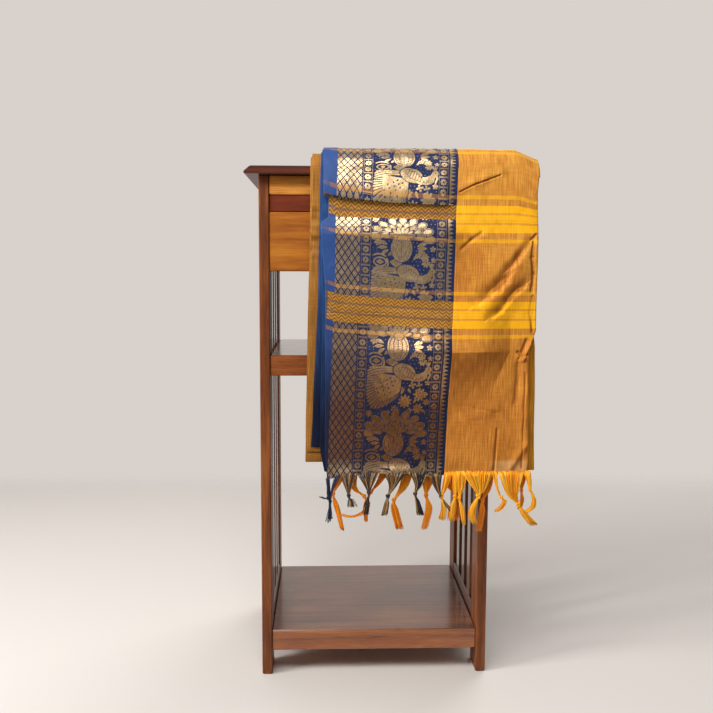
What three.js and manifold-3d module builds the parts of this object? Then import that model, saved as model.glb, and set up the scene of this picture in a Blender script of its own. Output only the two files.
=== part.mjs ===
// A folded silk-cotton saree that hangs over a small slatted wooden side table.
// Millimetres, +Z up. The front is at -Y and the viewer's right is +X.
// The table's own frame has x = 0 midway between the legs and y = 0 on the front of the legs.
// The last lines shift the whole part so that its box stands centred on the origin.

import * as THREE from 'three';
import { ConvexGeometry } from 'three/addons/geometries/ConvexGeometry.js';
import { mergeVertices } from 'three/addons/utils/BufferGeometryUtils.js';
import Module from 'manifold-3d';

const wasm = await Module();
wasm.setup();

// Driving sizes of the table
const TABLE_HEIGHT = 710;
const TABLE_WIDTH = 318;
const TABLE_DEPTH = 262;
const TOP_THICKNESS = 11.7;
const TOP_OVERHANG = 18;
const STILE_THICKNESS = 14;
const STILE_DEPTH = 45;
const SEAM = 0.3;
const EDGE = 1.2;

// Driving sizes of the cloth
const CLOTH_WALL = 1.6;
const STACK_ON_DROP = 16.4;
const STACK_ON_TOP = 22.6;
const BEND_RADIUS = 27.5;
const FOLD_RADIUS = 2.4;
const FOLD_RETURN = 26;

// Derived places
const HALF = TABLE_WIDTH / 2;
const INNER_X = HALF - STILE_THICKNESS;
const TOP_UNDER = TABLE_HEIGHT - TOP_THICKNESS;
const CLOTH_FRONT_Y = -TOP_OVERHANG - SEAM - STACK_ON_DROP;
const CLOTH_BACK_Y = TABLE_DEPTH + TOP_OVERHANG + SEAM + STACK_ON_DROP;
const CLOTH_TOP_Z = TABLE_HEIGHT + SEAM + STACK_ON_TOP;
const BEND_Z = CLOTH_TOP_Z - BEND_RADIUS;
const BEND_LENGTH = BEND_RADIUS * Math.PI / 2;
const TOP_RUN = CLOTH_BACK_Y - CLOTH_FRONT_Y - 2 * BEND_RADIUS;
const BACK_START = 2 * BEND_LENGTH + TOP_RUN;

// Colours
const WALNUT = { color: 0x6b3d26, roughness: 0.42, metalness: 0 };
const GOLDEN_WOOD = { color: 0xb07238, roughness: 0.45, metalness: 0 };
const DARK_WOOD = { color: 0x5a2a1a, roughness: 0.42, metalness: 0 };
const MUSTARD = { color: 0xc88a2e, roughness: 0.6, metalness: 0 };
const NAVY = { color: 0x2d3f78, roughness: 0.6, metalness: 0 };
const BROCADE = { color: 0xb08a50, roughness: 0.5, metalness: 0 };
const ORANGE = { color: 0xf09a18, roughness: 0.6, metalness: 0 };

const model = new THREE.Group();

function addMesh(name, geometry, material) {
  const mesh = new THREE.Mesh(geometry, new THREE.MeshStandardMaterial(material));
  mesh.name = name;
  model.add(mesh);
}

function smoothstep(from, to, value) {
  const t = Math.min(1, Math.max(0, (value - from) / (to - from)));
  return t * t * (3 - 2 * t);
}

function tableValue(rows, key, value, column) {
  if (value <= rows[0][key]) return rows[0][column];
  for (let i = 1; i < rows.length; i++) {
    const low = rows[i - 1];
    const high = rows[i];
    if (value <= high[key]) {
      const t = (value - low[key]) / (high[key] - low[key]);
      return low[column] + (high[column] - low[column]) * t;
    }
  }
  return rows[rows.length - 1][column];
}

// A closed box from two corners, with each edge chamfered
function chamferedBox(low, high, chamfer = EDGE) {
  const points = [];
  for (const sx of [0, 1]) for (const sy of [0, 1]) for (const sz of [0, 1]) {
    const corner = [sx ? high[0] : low[0], sy ? high[1] : low[1], sz ? high[2] : low[2]];
    const inward = [sx ? -chamfer : chamfer, sy ? -chamfer : chamfer, sz ? -chamfer : chamfer];
    for (let axis = 0; axis < 3; axis++) {
      const point = corner.map((v, i) => (i === axis ? v : v + inward[i]));
      points.push(new THREE.Vector3(...point));
    }
  }
  return new ConvexGeometry(points);
}

// The wooden table: top, stiles, rails, slats and two shelves

const TOP_BEVEL = [
  { z: 0, inset: 0.8 },
  { z: 1.2, inset: 0 },
  { z: 3, inset: 0 },
  { z: 9.8, inset: 6.5 },
  { z: 11.2, inset: 8.8 },
  { z: 11.7, inset: 13 },
];

function addTableTop() {
  const points = [];
  for (const row of TOP_BEVEL) {
    const reachX = HALF + TOP_OVERHANG - row.inset;
    const nearY = -TOP_OVERHANG + row.inset;
    const farY = TABLE_DEPTH + TOP_OVERHANG - row.inset;
    for (const x of [-reachX, reachX]) for (const y of [nearY, farY]) {
      points.push(new THREE.Vector3(x, y, TOP_UNDER + row.z));
    }
  }
  addMesh('table_top', new ConvexGeometry(points), DARK_WOOD);
}

// Fronts and boards that span between the side frames
const SPANNING = [
  { name: 'front_top_rail', low: 672.4, high: 698, near: 1, far: 17, wood: GOLDEN_WOOD },
  { name: 'front_dark_band', low: 649.6, high: 672.1, near: 2.5, far: 17, wood: DARK_WOOD },
  { name: 'front_panel', low: 570, high: 649.3, near: 1, far: 17, wood: GOLDEN_WOOD },
  { name: 'back_apron', low: 570, high: 698, near: 246, far: 261, wood: WALNUT },
  { name: 'middle_shelf', low: 427.4, high: 455.7, near: 1.5, far: 260.5, wood: WALNUT },
  { name: 'bottom_shelf', low: 34.5, high: 64, near: 1.5, far: 260.5, wood: WALNUT },
];

const SIDE_RAILS = [
  { name: 'side_top_rail', low: 600, high: 698 },
  { name: 'side_bottom_rail', low: 34.5, high: 84 },
];

const SLATS_PER_SIDE = 3;

function addTableFrame() {
  const reach = INNER_X - SEAM;
  for (const row of SPANNING) {
    addMesh(row.name, chamferedBox([-reach, row.near, row.low], [reach, row.far, row.high]), row.wood);
  }
  const freeDepth = TABLE_DEPTH - 2 * STILE_DEPTH;
  const slatWidth = freeDepth / (2 * SLATS_PER_SIDE + 1);
  for (const side of ['left', 'right']) {
    const outer = side === 'left' ? -HALF : INNER_X;
    const inner = side === 'left' ? -INNER_X : HALF;
    const stile = (name, y) => addMesh(
      name, chamferedBox([outer, y, 0], [inner, y + STILE_DEPTH, TOP_UNDER - SEAM]), WALNUT);
    stile('leg_front_' + side, 0);
    stile('leg_back_' + side, TABLE_DEPTH - STILE_DEPTH);
    const nearY = STILE_DEPTH + SEAM;
    const farY = TABLE_DEPTH - STILE_DEPTH - SEAM;
    for (const rail of SIDE_RAILS) {
      const low = [outer + 0.5, nearY, rail.low];
      const high = [inner - 0.5, farY, rail.high];
      addMesh(rail.name + '_' + side, chamferedBox(low, high), WALNUT);
    }
    for (let i = 0; i < SLATS_PER_SIDE; i++) {
      const y = STILE_DEPTH + slatWidth * (2 * i + 1);
      const low = [outer + 1.5, y, SIDE_RAILS[1].high + SEAM];
      const high = [inner - 1.5, y + slatWidth, SIDE_RAILS[0].low - SEAM];
      addMesh('slat_' + side + '_' + (i + 1), chamferedBox(low, high), WALNUT);
    }
  }
}

// The drape: a path up the front, over the top and down the back.
// s is the length along the outermost cloth, 0 where the front bend begins and less below it.

function pathAt(s) {
  if (s < 0) return { y: CLOTH_FRONT_Y, z: BEND_Z + s, inY: 1, inZ: 0 };
  if (s < BEND_LENGTH) {
    const turn = s / BEND_RADIUS;
    const y = CLOTH_FRONT_Y + BEND_RADIUS * (1 - Math.cos(turn));
    const z = BEND_Z + BEND_RADIUS * Math.sin(turn);
    return { y, z, inY: Math.cos(turn), inZ: -Math.sin(turn) };
  }
  if (s < BEND_LENGTH + TOP_RUN) {
    return { y: CLOTH_FRONT_Y + BEND_RADIUS + s - BEND_LENGTH, z: CLOTH_TOP_Z, inY: 0, inZ: -1 };
  }
  if (s < BACK_START) {
    const turn = (s - BEND_LENGTH - TOP_RUN) / BEND_RADIUS;
    const y = CLOTH_BACK_Y - BEND_RADIUS * (1 - Math.sin(turn));
    const z = BEND_Z + BEND_RADIUS * Math.cos(turn);
    return { y, z, inY: -Math.sin(turn), inZ: -Math.cos(turn) };
  }
  return { y: CLOTH_BACK_Y, z: BEND_Z - (s - BACK_START), inY: -1, inZ: 0 };
}

const frontS = (z) => z - BEND_Z;
const backS = (z) => BACK_START + BEND_Z - z;

// The largest folds of the face, which lift it off the stretches beneath.
// Each is a soft ridge from one end to the other: x is across the cloth and s along it,
// width is how far it reaches to each side and height how far it lifts.
const FOLDS = [
  { x0: -78, s0: -24, x1: 92, s1: -22, width: 14, height: 3.6 },
  { x0: 92, s0: -22, x1: 200, s1: -34, width: 18, height: 1.6 },
  { x0: -80, s0: -76, x1: 108, s1: -74, width: 15, height: 4.2 },
  { x0: 108, s0: -74, x1: 206, s1: -82, width: 20, height: 1.8 },
  { x0: -74, s0: -236, x1: 118, s1: -238, width: 24, height: 3 },
  { x0: -72, s0: -366, x1: 150, s1: -372, width: 30, height: 2.6 },
  { x0: 209, s0: -86, x1: 186, s1: -128, width: 9, height: 3.2 },
  { x0: 186, s0: -128, x1: 142, s1: -180, width: 11, height: 2.6 },
  { x0: 204, s0: -166, x1: 176, s1: -212, width: 10, height: 2.2 },
  { x0: 92, s0: -200, x1: 172, s1: -216, width: 22, height: 1.6 },
  { x0: 158, s0: -340, x1: 152, s1: -400, width: 6, height: 2.2 },
  { x0: 194, s0: -256, x1: 188, s1: -400, width: 11, height: 2.2 },
  { x0: -40, s0: 500, x1: 150, s1: 512, width: 22, height: 2.8 },
  { x0: 196, s0: 540, x1: 60, s1: 660, width: 16, height: 2.4 },
];

function reliefAt(x, s) {
  let sum = 0;
  for (const fold of FOLDS) {
    const alongX = fold.x1 - fold.x0;
    const alongS = fold.s1 - fold.s0;
    const length2 = alongX * alongX + alongS * alongS;
    const raw = ((x - fold.x0) * alongX + (s - fold.s0) * alongS) / length2;
    const t = Math.min(1, Math.max(0, raw));
    const away = Math.hypot(x - fold.x0 - t * alongX, s - fold.s0 - t * alongS) / fold.width;
    sum += fold.height * Math.exp(-away * away);
  }
  return sum;
}

// The stack droops where it passes the table's right end
const DROOP = { from: TABLE_WIDTH / 2 + TOP_OVERHANG + 1, to: 214, depth: 12 };

function droopAt(x, s) {
  const away = Math.max(0, -s, s - BACK_START);
  return DROOP.depth * smoothstep(DROOP.from, DROOP.to, x) * (1 - smoothstep(0, 90, away));
}

// n is the depth below the outermost surface; the stack is deeper where it lies on the table
const FIRM_DEPTH = 8.2;

function onDrape(x, n, s, lift = 0) {
  const path = pathAt(s);
  const onTop = smoothstep(0, BEND_LENGTH, Math.min(s, BACK_START - s));
  const full = STACK_ON_DROP + (STACK_ON_TOP - STACK_ON_DROP) * onTop;
  const spread = (full - FIRM_DEPTH) / (STACK_ON_DROP - FIRM_DEPTH);
  const depth = n < FIRM_DEPTH ? n : FIRM_DEPTH + (n - FIRM_DEPTH) * spread;
  const y = path.y + path.inY * (depth - lift);
  const z = path.z + path.inZ * (depth - lift) - droopAt(x, s);
  return new THREE.Vector3(x, y, z);
}

// Cap triangles of a wall's section, whose second half runs back beside the first
function wallCap(count) {
  const triangles = [];
  for (let k = 0; k + 1 < count / 2; k++) {
    const far = count - 1 - k;
    triangles.push([k, k + 1, far], [k + 1, far - 1, far]);
  }
  return triangles;
}

// Cap triangles of a compact section
function flatCap(section) {
  const contour = section.map((q) => new THREE.Vector2(q.x, q.n));
  return THREE.ShapeUtils.triangulateShape(contour, []);
}

// A closed solid from rings of equal length
function loft(rings, cap) {
  const count = rings[0].length;
  const positions = [];
  for (const ring of rings) for (const p of ring) positions.push(p.x, p.y, p.z);
  const index = [];
  for (let r = 0; r + 1 < rings.length; r++) {
    for (let i = 0; i < count; i++) {
      const a = r * count + i;
      const b = r * count + (i + 1) % count;
      index.push(a, b, a + count, b, b + count, a + count);
    }
  }
  const last = (rings.length - 1) * count;
  for (const [a, b, c] of cap) {
    index.push(a, c, b, last + a, last + b, last + c);
  }
  const geometry = new THREE.BufferGeometry();
  geometry.setAttribute('position', new THREE.Float32BufferAttribute(positions, 3));
  geometry.setIndex(index);
  if (signedVolume(geometry) < 0) {
    for (let i = 0; i < index.length; i += 3) [index[i + 1], index[i + 2]] = [index[i + 2], index[i + 1]];
    geometry.setIndex(index);
  }
  return geometry;
}

function signedVolume(geometry) {
  const position = geometry.attributes.position;
  const index = geometry.index.array;
  const a = new THREE.Vector3();
  const b = new THREE.Vector3();
  const c = new THREE.Vector3();
  let volume = 0;
  for (let i = 0; i < index.length; i += 3) {
    a.fromBufferAttribute(position, index[i]);
    b.fromBufferAttribute(position, index[i + 1]);
    c.fromBufferAttribute(position, index[i + 2]);
    volume += a.dot(b.clone().cross(c)) / 6;
  }
  return volume;
}

// Stations along the drape from one hem to the other, each a function of the place across the cloth.
// Lengths near a hem follow the hem's own line, then run level.
function stationList(steps) {
  const list = [];
  for (const { from, to, count } of steps) {
    for (let i = 0; i < count; i++) list.push(from + (to - from) * i / count);
  }
  list.push(steps[steps.length - 1].to);
  return list;
}

// Every stretch shares these stations over the top, so that the faceted layers stay nested
const OVER_THE_TOP = [
  { from: -10, to: BEND_LENGTH + 8, count: 7 },
  { from: BEND_LENGTH + 8, to: BEND_LENGTH + TOP_RUN - 8, count: 5 },
  { from: BEND_LENGTH + TOP_RUN - 8, to: BACK_START + 10, count: 7 },
];

function sweep(stations, sectionAt, cap = flatCap(sectionAt(stations[0]))) {
  const rings = stations.map((s) => sectionAt(s).map((q) => onDrape(q.x, q.n, q.s ?? s, q.lift ?? 0)));
  return loft(rings, cap);
}

// 1. The face of the pallu stretch: one wall with a free selvedge at the left and a fold at the right

const FACE_LEFT = [
  { z: 292, x: -66.7 },
  { z: 331, x: -70.1 },
  { z: 426, x: -69.6 },
  { z: 546, x: -69.2 },
  { z: 600, x: -73.8 },
  { z: 634, x: -75.1 },
  { z: 643, x: -65.6 },
  { z: 666, x: -65.1 },
  { z: 673, x: -71.7 },
  { z: 720, x: -71.7 },
];

const FACE_RIGHT = [
  { z: 292, x: 203.6 },
  { z: 316, x: 206.1 },
  { z: 453, x: 202.9 },
  { z: 473, x: 204.9 },
  { z: 492, x: 212.2 },
  { z: 610, x: 212 },
  { z: 684, x: 210 },
  { z: 720, x: 212.5 },
];

const FACE_HEM = [
  { x: -67, z: 292 },
  { x: -40, z: 297 },
  { x: 10, z: 300 },
  { x: 40, z: 300 },
  { x: 75, z: 295 },
  { x: 100, z: 298 },
  { x: 150, z: 298 },
  { x: 204, z: 298 },
];

const FACE_HEM_LEVEL = 297;
const FACE_BACK_HEM_Z = 306;
const FACE_PLACES = [-54, -34, -14, 8, 30, 52, 74, 94, 112, 130, 146, 162, 178, 187, 195];
const HEM_BLEND = 90;

function zOnPath(s) {
  if (s < 0) return BEND_Z + s;
  if (s > BACK_START) return Math.max(560, BEND_Z - (s - BACK_START));
  return 720;
}

// Shifts a length near the front hem so that the lowest ring lies on the hem's own line
function onHemLine(x, s, hemRows, lowest) {
  const wanted = frontS(tableValue(hemRows, 'x', x, 'z'));
  const fade = 1 - smoothstep(0, HEM_BLEND, s - lowest);
  return s + (wanted - lowest) * fade;
}

function faceSection(s) {
  const z = zOnPath(s);
  const left = tableValue(FACE_LEFT, 'z', z, 'x');
  const turnX = tableValue(FACE_RIGHT, 'z', z, 'x') - FOLD_RADIUS;
  const inner = FOLD_RADIUS - CLOTH_WALL;
  const across = [left, ...FACE_PLACES];
  const points = across.map((x) => ({ x, n: 0 }));
  for (let i = 0; i <= 4; i++) {
    const turn = Math.PI * i / 4;
    points.push({ x: turnX + FOLD_RADIUS * Math.sin(turn), n: FOLD_RADIUS * (1 - Math.cos(turn)) });
  }
  points.push({ x: turnX - FOLD_RETURN, n: 2 * FOLD_RADIUS });
  points.push({ x: turnX - FOLD_RETURN, n: 2 * FOLD_RADIUS - CLOTH_WALL });
  for (let i = 4; i >= 0; i--) {
    const turn = Math.PI * i / 4;
    points.push({ x: turnX + inner * Math.sin(turn), n: FOLD_RADIUS - inner * Math.cos(turn) });
  }
  for (const x of across.toReversed()) points.push({ x, n: CLOTH_WALL });
  return points.map((q) => {
    const level = onHemLine(q.x, s, FACE_HEM, frontS(FACE_HEM_LEVEL));
    return { ...q, s: level, lift: reliefAt(q.x, level) };
  });
}

function addPalluFace() {
  const stations = stationList([
    { from: frontS(FACE_HEM_LEVEL), to: frontS(480), count: 13 },
    { from: frontS(480), to: -10, count: 20 },
    ...OVER_THE_TOP,
    { from: BACK_START + 10, to: backS(FACE_BACK_HEM_Z), count: 10 },
  ]);
  const cap = wallCap(faceSection(stations[0]).length);
  addMesh('pallu_face', sweep(stations, faceSection, cap), BROCADE);
}

// 2 to 4. Stretches that lie under the face: rounded solids whose edges show in steps
const INNER_PLACES = [110, 168, 178, 187, 195];
const DEEPENS = { from: 110, to: 168 };
const END_STEPS = 4;

// The section of a flat bundle with half-round ends; its depth may differ at the left and the right
function roundedSection(bundle, s) {
  const z = zOnPath(s);
  const left = tableValue(bundle.edges, 'z', z, 'left');
  const right = tableValue(bundle.edges, 'z', z, 'right');
  const fromHem = Math.min(s - bundle.frontS, bundle.backS - s);
  const shrink = 0.35 + 0.65 * smoothstep(0, bundle.round, fromHem);
  const depthAt = (x) => {
    const t = smoothstep(DEEPENS.from, DEEPENS.to, x);
    const near = bundle.near + ((bundle.nearRight ?? bundle.near) - bundle.near) * t;
    const far = bundle.far + ((bundle.farRight ?? bundle.far) - bundle.far) * t;
    return { middle: (near + far) / 2, half: (far - near) / 2 * shrink };
  };
  const places = INNER_PLACES.filter((x) => x < bundle.lastPlace);
  const points = [];
  const addEnd = (edge, side) => {
    const { middle, half } = depthAt(edge);
    for (let i = 0; i <= END_STEPS; i++) {
      const turn = side * Math.PI * (i / END_STEPS - 0.5);
      points.push({ x: edge - side * half * (1 - Math.cos(turn)), n: middle + half * Math.sin(turn) });
    }
  };
  const addPlace = (x, side) => {
    const { middle, half } = depthAt(x);
    points.push({ x, n: middle + side * half });
  };
  addEnd(left, -1);
  for (const x of places) addPlace(x, -1);
  addEnd(right, 1);
  for (const x of places.toReversed()) addPlace(x, 1);
  return points;
}

function bundleGeometry(bundle) {
  const inFront = bundle.frontS + bundle.round;
  const inBack = bundle.backS - bundle.round;
  const stations = stationList([
    { from: bundle.frontS, to: inFront, count: 2 },
    { from: inFront, to: -10, count: bundle.rows },
    ...OVER_THE_TOP,
    { from: BACK_START + 10, to: inBack, count: 4 },
    { from: inBack, to: bundle.backS, count: 2 },
  ]);
  return sweep(stations, (s) => roundedSection(bundle, s));
}

const INNER_QUARTERS = {
  near: CLOTH_WALL + SEAM, far: 4.6,
  nearRight: 2 * FOLD_RADIUS + SEAM, farRight: 2 * FOLD_RADIUS + SEAM + 2.4,
  frontS: frontS(301), backS: backS(310), round: 3, rows: 10, lastPlace: 200,
  edges: [
    { z: 301, left: -71.3, right: 216.6 },
    { z: 330, left: -76.7, right: 215.4 },
    { z: 400, left: -76, right: 214.8 },
    { z: 470, left: -74.5, right: 213.8 },
    { z: 500, left: -74, right: 210 },
    { z: 610, left: -75.4, right: 209.4 },
    { z: 720, left: -73.4, right: 210 },
  ],
};

const NEXT_BORDER = {
  near: 4.9, far: 7.2,
  frontS: frontS(334), backS: backS(326), round: 3, rows: 9, lastPlace: 60,
  edges: [
    { z: 334, left: -88.9, right: 92 },
    { z: 439, left: -83.9, right: 94 },
    { z: 532, left: -79.5, right: 95 },
    { z: 611, left: -77.6, right: 95 },
    { z: 720, left: -75.4, right: 95 },
  ],
};

// Bundles of the folded length; they are joined into one solid, with grooves at the edges
const STACK_BUNDLES = [
  { near: 7.8, far: 10.8, bottom: 327, back: 318, left: 0, right: -5 },
  { near: 9.4, far: 13.5, bottom: 312.5, back: 304, left: -1.5, right: -2 },
  { near: 11.9, far: 16.4, bottom: 315, back: 299, left: 1.5, right: -6 },
];

const STACK_EDGES = [
  { z: 312, left: -95.6, right: 208 },
  { z: 398, left: -93.6, right: 208 },
  { z: 492, left: -91.6, right: 207 },
  { z: 585, left: -89.5, right: 206 },
  { z: 664, left: -87.7, right: 206 },
  { z: 720, left: -87.2, right: 208 },
];

function toSolid(geometry) {
  const bare = geometry.clone();
  bare.deleteAttribute('normal');
  bare.deleteAttribute('uv');
  const merged = mergeVertices(bare, 1e-4);
  return new wasm.Manifold(new wasm.Mesh({
    numProp: 3,
    vertProperties: new Float32Array(merged.attributes.position.array),
    triVerts: new Uint32Array(merged.index.array),
  }));
}

function joined(geometries) {
  const solids = geometries.map(toSolid);
  const whole = solids.reduce((sum, solid) => sum.add(solid));
  const mesh = whole.getMesh();
  const geometry = new THREE.BufferGeometry();
  geometry.setAttribute('position', new THREE.BufferAttribute(new Float32Array(mesh.vertProperties), 3));
  geometry.setIndex(new THREE.BufferAttribute(new Uint32Array(mesh.triVerts), 1));
  return geometry;
}

function addHiddenStretches() {
  addMesh('pallu_inner_quarters', bundleGeometry(INNER_QUARTERS), MUSTARD);
  addMesh('next_stretch_border', bundleGeometry(NEXT_BORDER), NAVY);
  const bundles = STACK_BUNDLES.map((row) => bundleGeometry({
    near: row.near,
    far: row.far,
    frontS: frontS(row.bottom),
    backS: backS(row.back),
    round: 4,
    rows: 7,
    lastPlace: 200,
    edges: STACK_EDGES.map((e) => ({ z: e.z, left: e.left + row.left, right: e.right + row.right })),
  }));
  addMesh('folded_length', joined(bundles), MUSTARD);
}

// 5 and 6. Knotted fringes: locks of thread that hang from a narrow strip just below each hem

const STRIP_HEIGHT = 2.4;
const STRIP_HALF = 0.7;
const LOCK_RADIUS = 0.95;
const KNOT_RADIUS = 3.1;

// hem0 and hem1: the stretch of hem that a tassel gathers; x and z of its knot and of its tail's end;
// rise: locks above the knot; tails: locks below it; spread: half width of the tail
const FACE_TASSELS = [
  { hem0: -65, hem1: -56, knotX: -63, knotZ: 260, tailX: -64, tailZ: 231, rise: 3, tails: 4, spread: 5 },
  { hem0: -52, hem1: -22, knotX: -38, knotZ: 267, tailX: -34, tailZ: 253, rise: 5, tails: 4, spread: 8 },
  { hem0: -19, hem1: 8, knotX: -11, knotZ: 273, tailX: -16, tailZ: 242, rise: 5, tails: 4, spread: 5 },
  { hem0: 11, hem1: 39, knotX: 15, knotZ: 266, tailX: 13, tailZ: 243, rise: 5, tails: 4, spread: 6 },
  { hem0: 42, hem1: 68, knotX: 52, knotZ: 269, tailX: 58, tailZ: 241, rise: 5, tails: 4, spread: 6 },
  { hem0: 71, hem1: 88, knotX: 87, knotZ: 266, tailX: 96, tailZ: 238, rise: 4, tails: 4, spread: 7 },
  { hem0: 92, hem1: 116, knotX: 110, knotZ: 267, tailX: 108, tailZ: 228, rise: 4, tails: 4, spread: 11 },
  { hem0: 119, hem1: 152, knotX: 139, knotZ: 276, tailX: 133, tailZ: 228, rise: 6, tails: 4, spread: 7 },
  { hem0: 156, hem1: 163, knotX: 171, knotZ: 269, tailX: 167, tailZ: 243, rise: 2, tails: 4, spread: 4 },
  { hem0: 166, hem1: 195, knotX: 193, knotZ: 251, tailX: 209, tailZ: 227, rise: 5, tails: 4, spread: 5 },
];

const INNER_TASSELS = [
  { hem0: -48, hem1: -40, knotX: -57, knotZ: 262, tailX: -47, tailZ: 222, rise: 2, tails: 3, spread: 2.5 },
  { hem0: -12, hem1: -4, knotX: -24, knotZ: 266, tailX: -42, tailZ: 241, rise: 2, tails: 3, spread: 3 },
  { hem0: 34, hem1: 44, knotX: 22, knotZ: 262, tailX: 26, tailZ: 223, rise: 3, tails: 3, spread: 3.5 },
  { hem0: 64, hem1: 74, knotX: 67, knotZ: 268, tailX: 65, tailZ: 223, rise: 3, tails: 3, spread: 3.5 },
  { hem0: 96, hem1: 106, knotX: 99, knotZ: 262, tailX: 97, tailZ: 231, rise: 3, tails: 3, spread: 5 },
  { hem0: 140, hem1: 152, knotX: 149, knotZ: 252, tailX: 146, tailZ: 218, rise: 3, tails: 3, spread: 4 },
  { hem0: 200, hem1: 207, knotX: 213, knotZ: 260, tailX: 200, tailZ: 243, rise: 2, tails: 3, spread: 3 },
];

function quadraticPath(from, middle, to) {
  return new THREE.QuadraticBezierCurve3(from, middle, to);
}

// A three-sided lock of thread along a curve
function lockGeometry(curve, radius, steps = 2) {
  const section = [0, 1, 2].map((i) => {
    const turn = i * 2 * Math.PI / 3;
    return { x: radius * Math.cos(turn), n: radius * Math.sin(turn) };
  });
  const rings = [];
  for (let i = 0; i <= steps; i++) {
    const centre = curve.getPoint(i / steps);
    const along = curve.getTangent(i / steps);
    const across = new THREE.Vector3(0, 1, 0).cross(along).normalize();
    const out = along.clone().cross(across);
    rings.push(section.map((q) => centre.clone().addScaledVector(across, q.x).addScaledVector(out, q.n)));
  }
  return loft(rings, flatCap(section));
}

function knotGeometry(centre) {
  const knot = new THREE.IcosahedronGeometry(KNOT_RADIUS, 0);
  knot.scale(1, 0.8, 1.25);
  knot.translate(centre.x, centre.y, centre.z);
  return knot;
}

function tasselGeometries(row, plane, hemZAt) {
  const parts = [];
  const knot = new THREE.Vector3(row.knotX, plane.knotY, row.knotZ);
  for (let i = 0; i < row.rise; i++) {
    const t = row.rise === 1 ? 0.5 : i / (row.rise - 1);
    const x = row.hem0 + (row.hem1 - row.hem0) * t;
    const root = new THREE.Vector3(x, plane.hemY(x), hemZAt(x) - STRIP_HEIGHT * 0.6);
    const middle = new THREE.Vector3(x + (knot.x - x) * 0.25, plane.middleY(x), (root.z + knot.z) / 2 + 1);
    parts.push(lockGeometry(quadraticPath(root, middle, knot), LOCK_RADIUS));
  }
  for (let i = 0; i < row.tails; i++) {
    const t = 2 * (i + 0.5) / row.tails - 1;
    const sway = i % 2 === 0 ? 0.6 : -0.6;
    const tip = new THREE.Vector3(row.tailX + t * row.spread, plane.knotY + sway, row.tailZ + 5 * Math.abs(t));
    const middle = new THREE.Vector3(
      (knot.x + row.tailX) / 2 + t * row.spread * 0.7, plane.knotY + sway, (knot.z + tip.z) / 2);
    parts.push(lockGeometry(quadraticPath(knot, middle, tip), LOCK_RADIUS));
  }
  parts.push(knotGeometry(knot));
  return parts;
}

// A strip that follows a hem, SEAM below it
function stripGeometry(places, hemZAt, depthAt, liftAt) {
  const section = [
    { x: 0, n: -STRIP_HALF }, { x: 1, n: -STRIP_HALF }, { x: 1, n: STRIP_HALF }, { x: 0, n: STRIP_HALF },
  ];
  const rings = [];
  for (const x of places) {
    const top = hemZAt(x) - SEAM;
    rings.push(section.map((q) => {
      const s = frontS(top - q.x * STRIP_HEIGHT);
      return onDrape(x, depthAt(x) + q.n, s, liftAt(x, s));
    }));
  }
  return loft(rings, flatCap(section));
}

const INNER_DEPTH = [
  { x: DEEPENS.from, n: 3.2 },
  { x: DEEPENS.to, n: 6.3 },
];

function addFringes() {
  const faceHemZ = (x) => tableValue(FACE_HEM, 'x', x, 'z');
  const faceDepth = () => CLOTH_WALL / 2;
  const faceY = (x) => onDrape(x, CLOTH_WALL / 2, frontS(294), reliefAt(x, frontS(294))).y;
  const facePlane = { hemY: faceY, middleY: (x) => faceY(x) - 1.4, knotY: CLOTH_FRONT_Y - 2.6 };
  const face = FACE_TASSELS.flatMap((row) => tasselGeometries(row, facePlane, faceHemZ));
  const faceStrip = stripGeometry([-65.8, ...FACE_PLACES, 200], faceHemZ, faceDepth, reliefAt);
  addMesh('face_fringe', joined([faceStrip, ...face]), ORANGE);

  const innerHemZ = () => 301 - SEAM;
  const innerDepthAt = (x) => tableValue(INNER_DEPTH, 'x', x, 'n');
  const innerY = (x) => onDrape(x, innerDepthAt(x), frontS(299)).y;
  const innerPlane = { hemY: innerY, middleY: (x) => innerY(x) + 0.6, knotY: CLOTH_FRONT_Y + 6.4 };
  const inner = INNER_TASSELS.flatMap((row) => tasselGeometries(row, innerPlane, innerHemZ));
  const innerStrip = stripGeometry([-64, ...INNER_PLACES, 208], innerHemZ, innerDepthAt, () => 0);
  addMesh('inner_fringe', joined([innerStrip, ...inner]), ORANGE);
}


addTableTop();
addTableFrame();
addPalluFace();
addHiddenStretches();
addFringes();

// Stand the part on z = 0 with its box centred on the origin
const box = new THREE.Box3().setFromObject(model);
const centre = box.getCenter(new THREE.Vector3());
model.position.set(-centre.x, -centre.y, -box.min.z);

const part = new THREE.Group();
part.add(model);
part.updateMatrixWorld(true);

export default part;
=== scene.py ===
# %% [markdown]
# A folded silk-cotton saree hangs over a small slatted side table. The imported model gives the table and
# the plain solids of the cloth. This file gives them their looks: varnished wood, a handwoven cloth with
# a brocade border in gold thread, and a knotted fringe. Everything is in metres in the model's own frame.

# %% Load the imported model
import math
import random

import bpy
import numpy as np
from mathutils import Matrix, Vector


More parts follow.
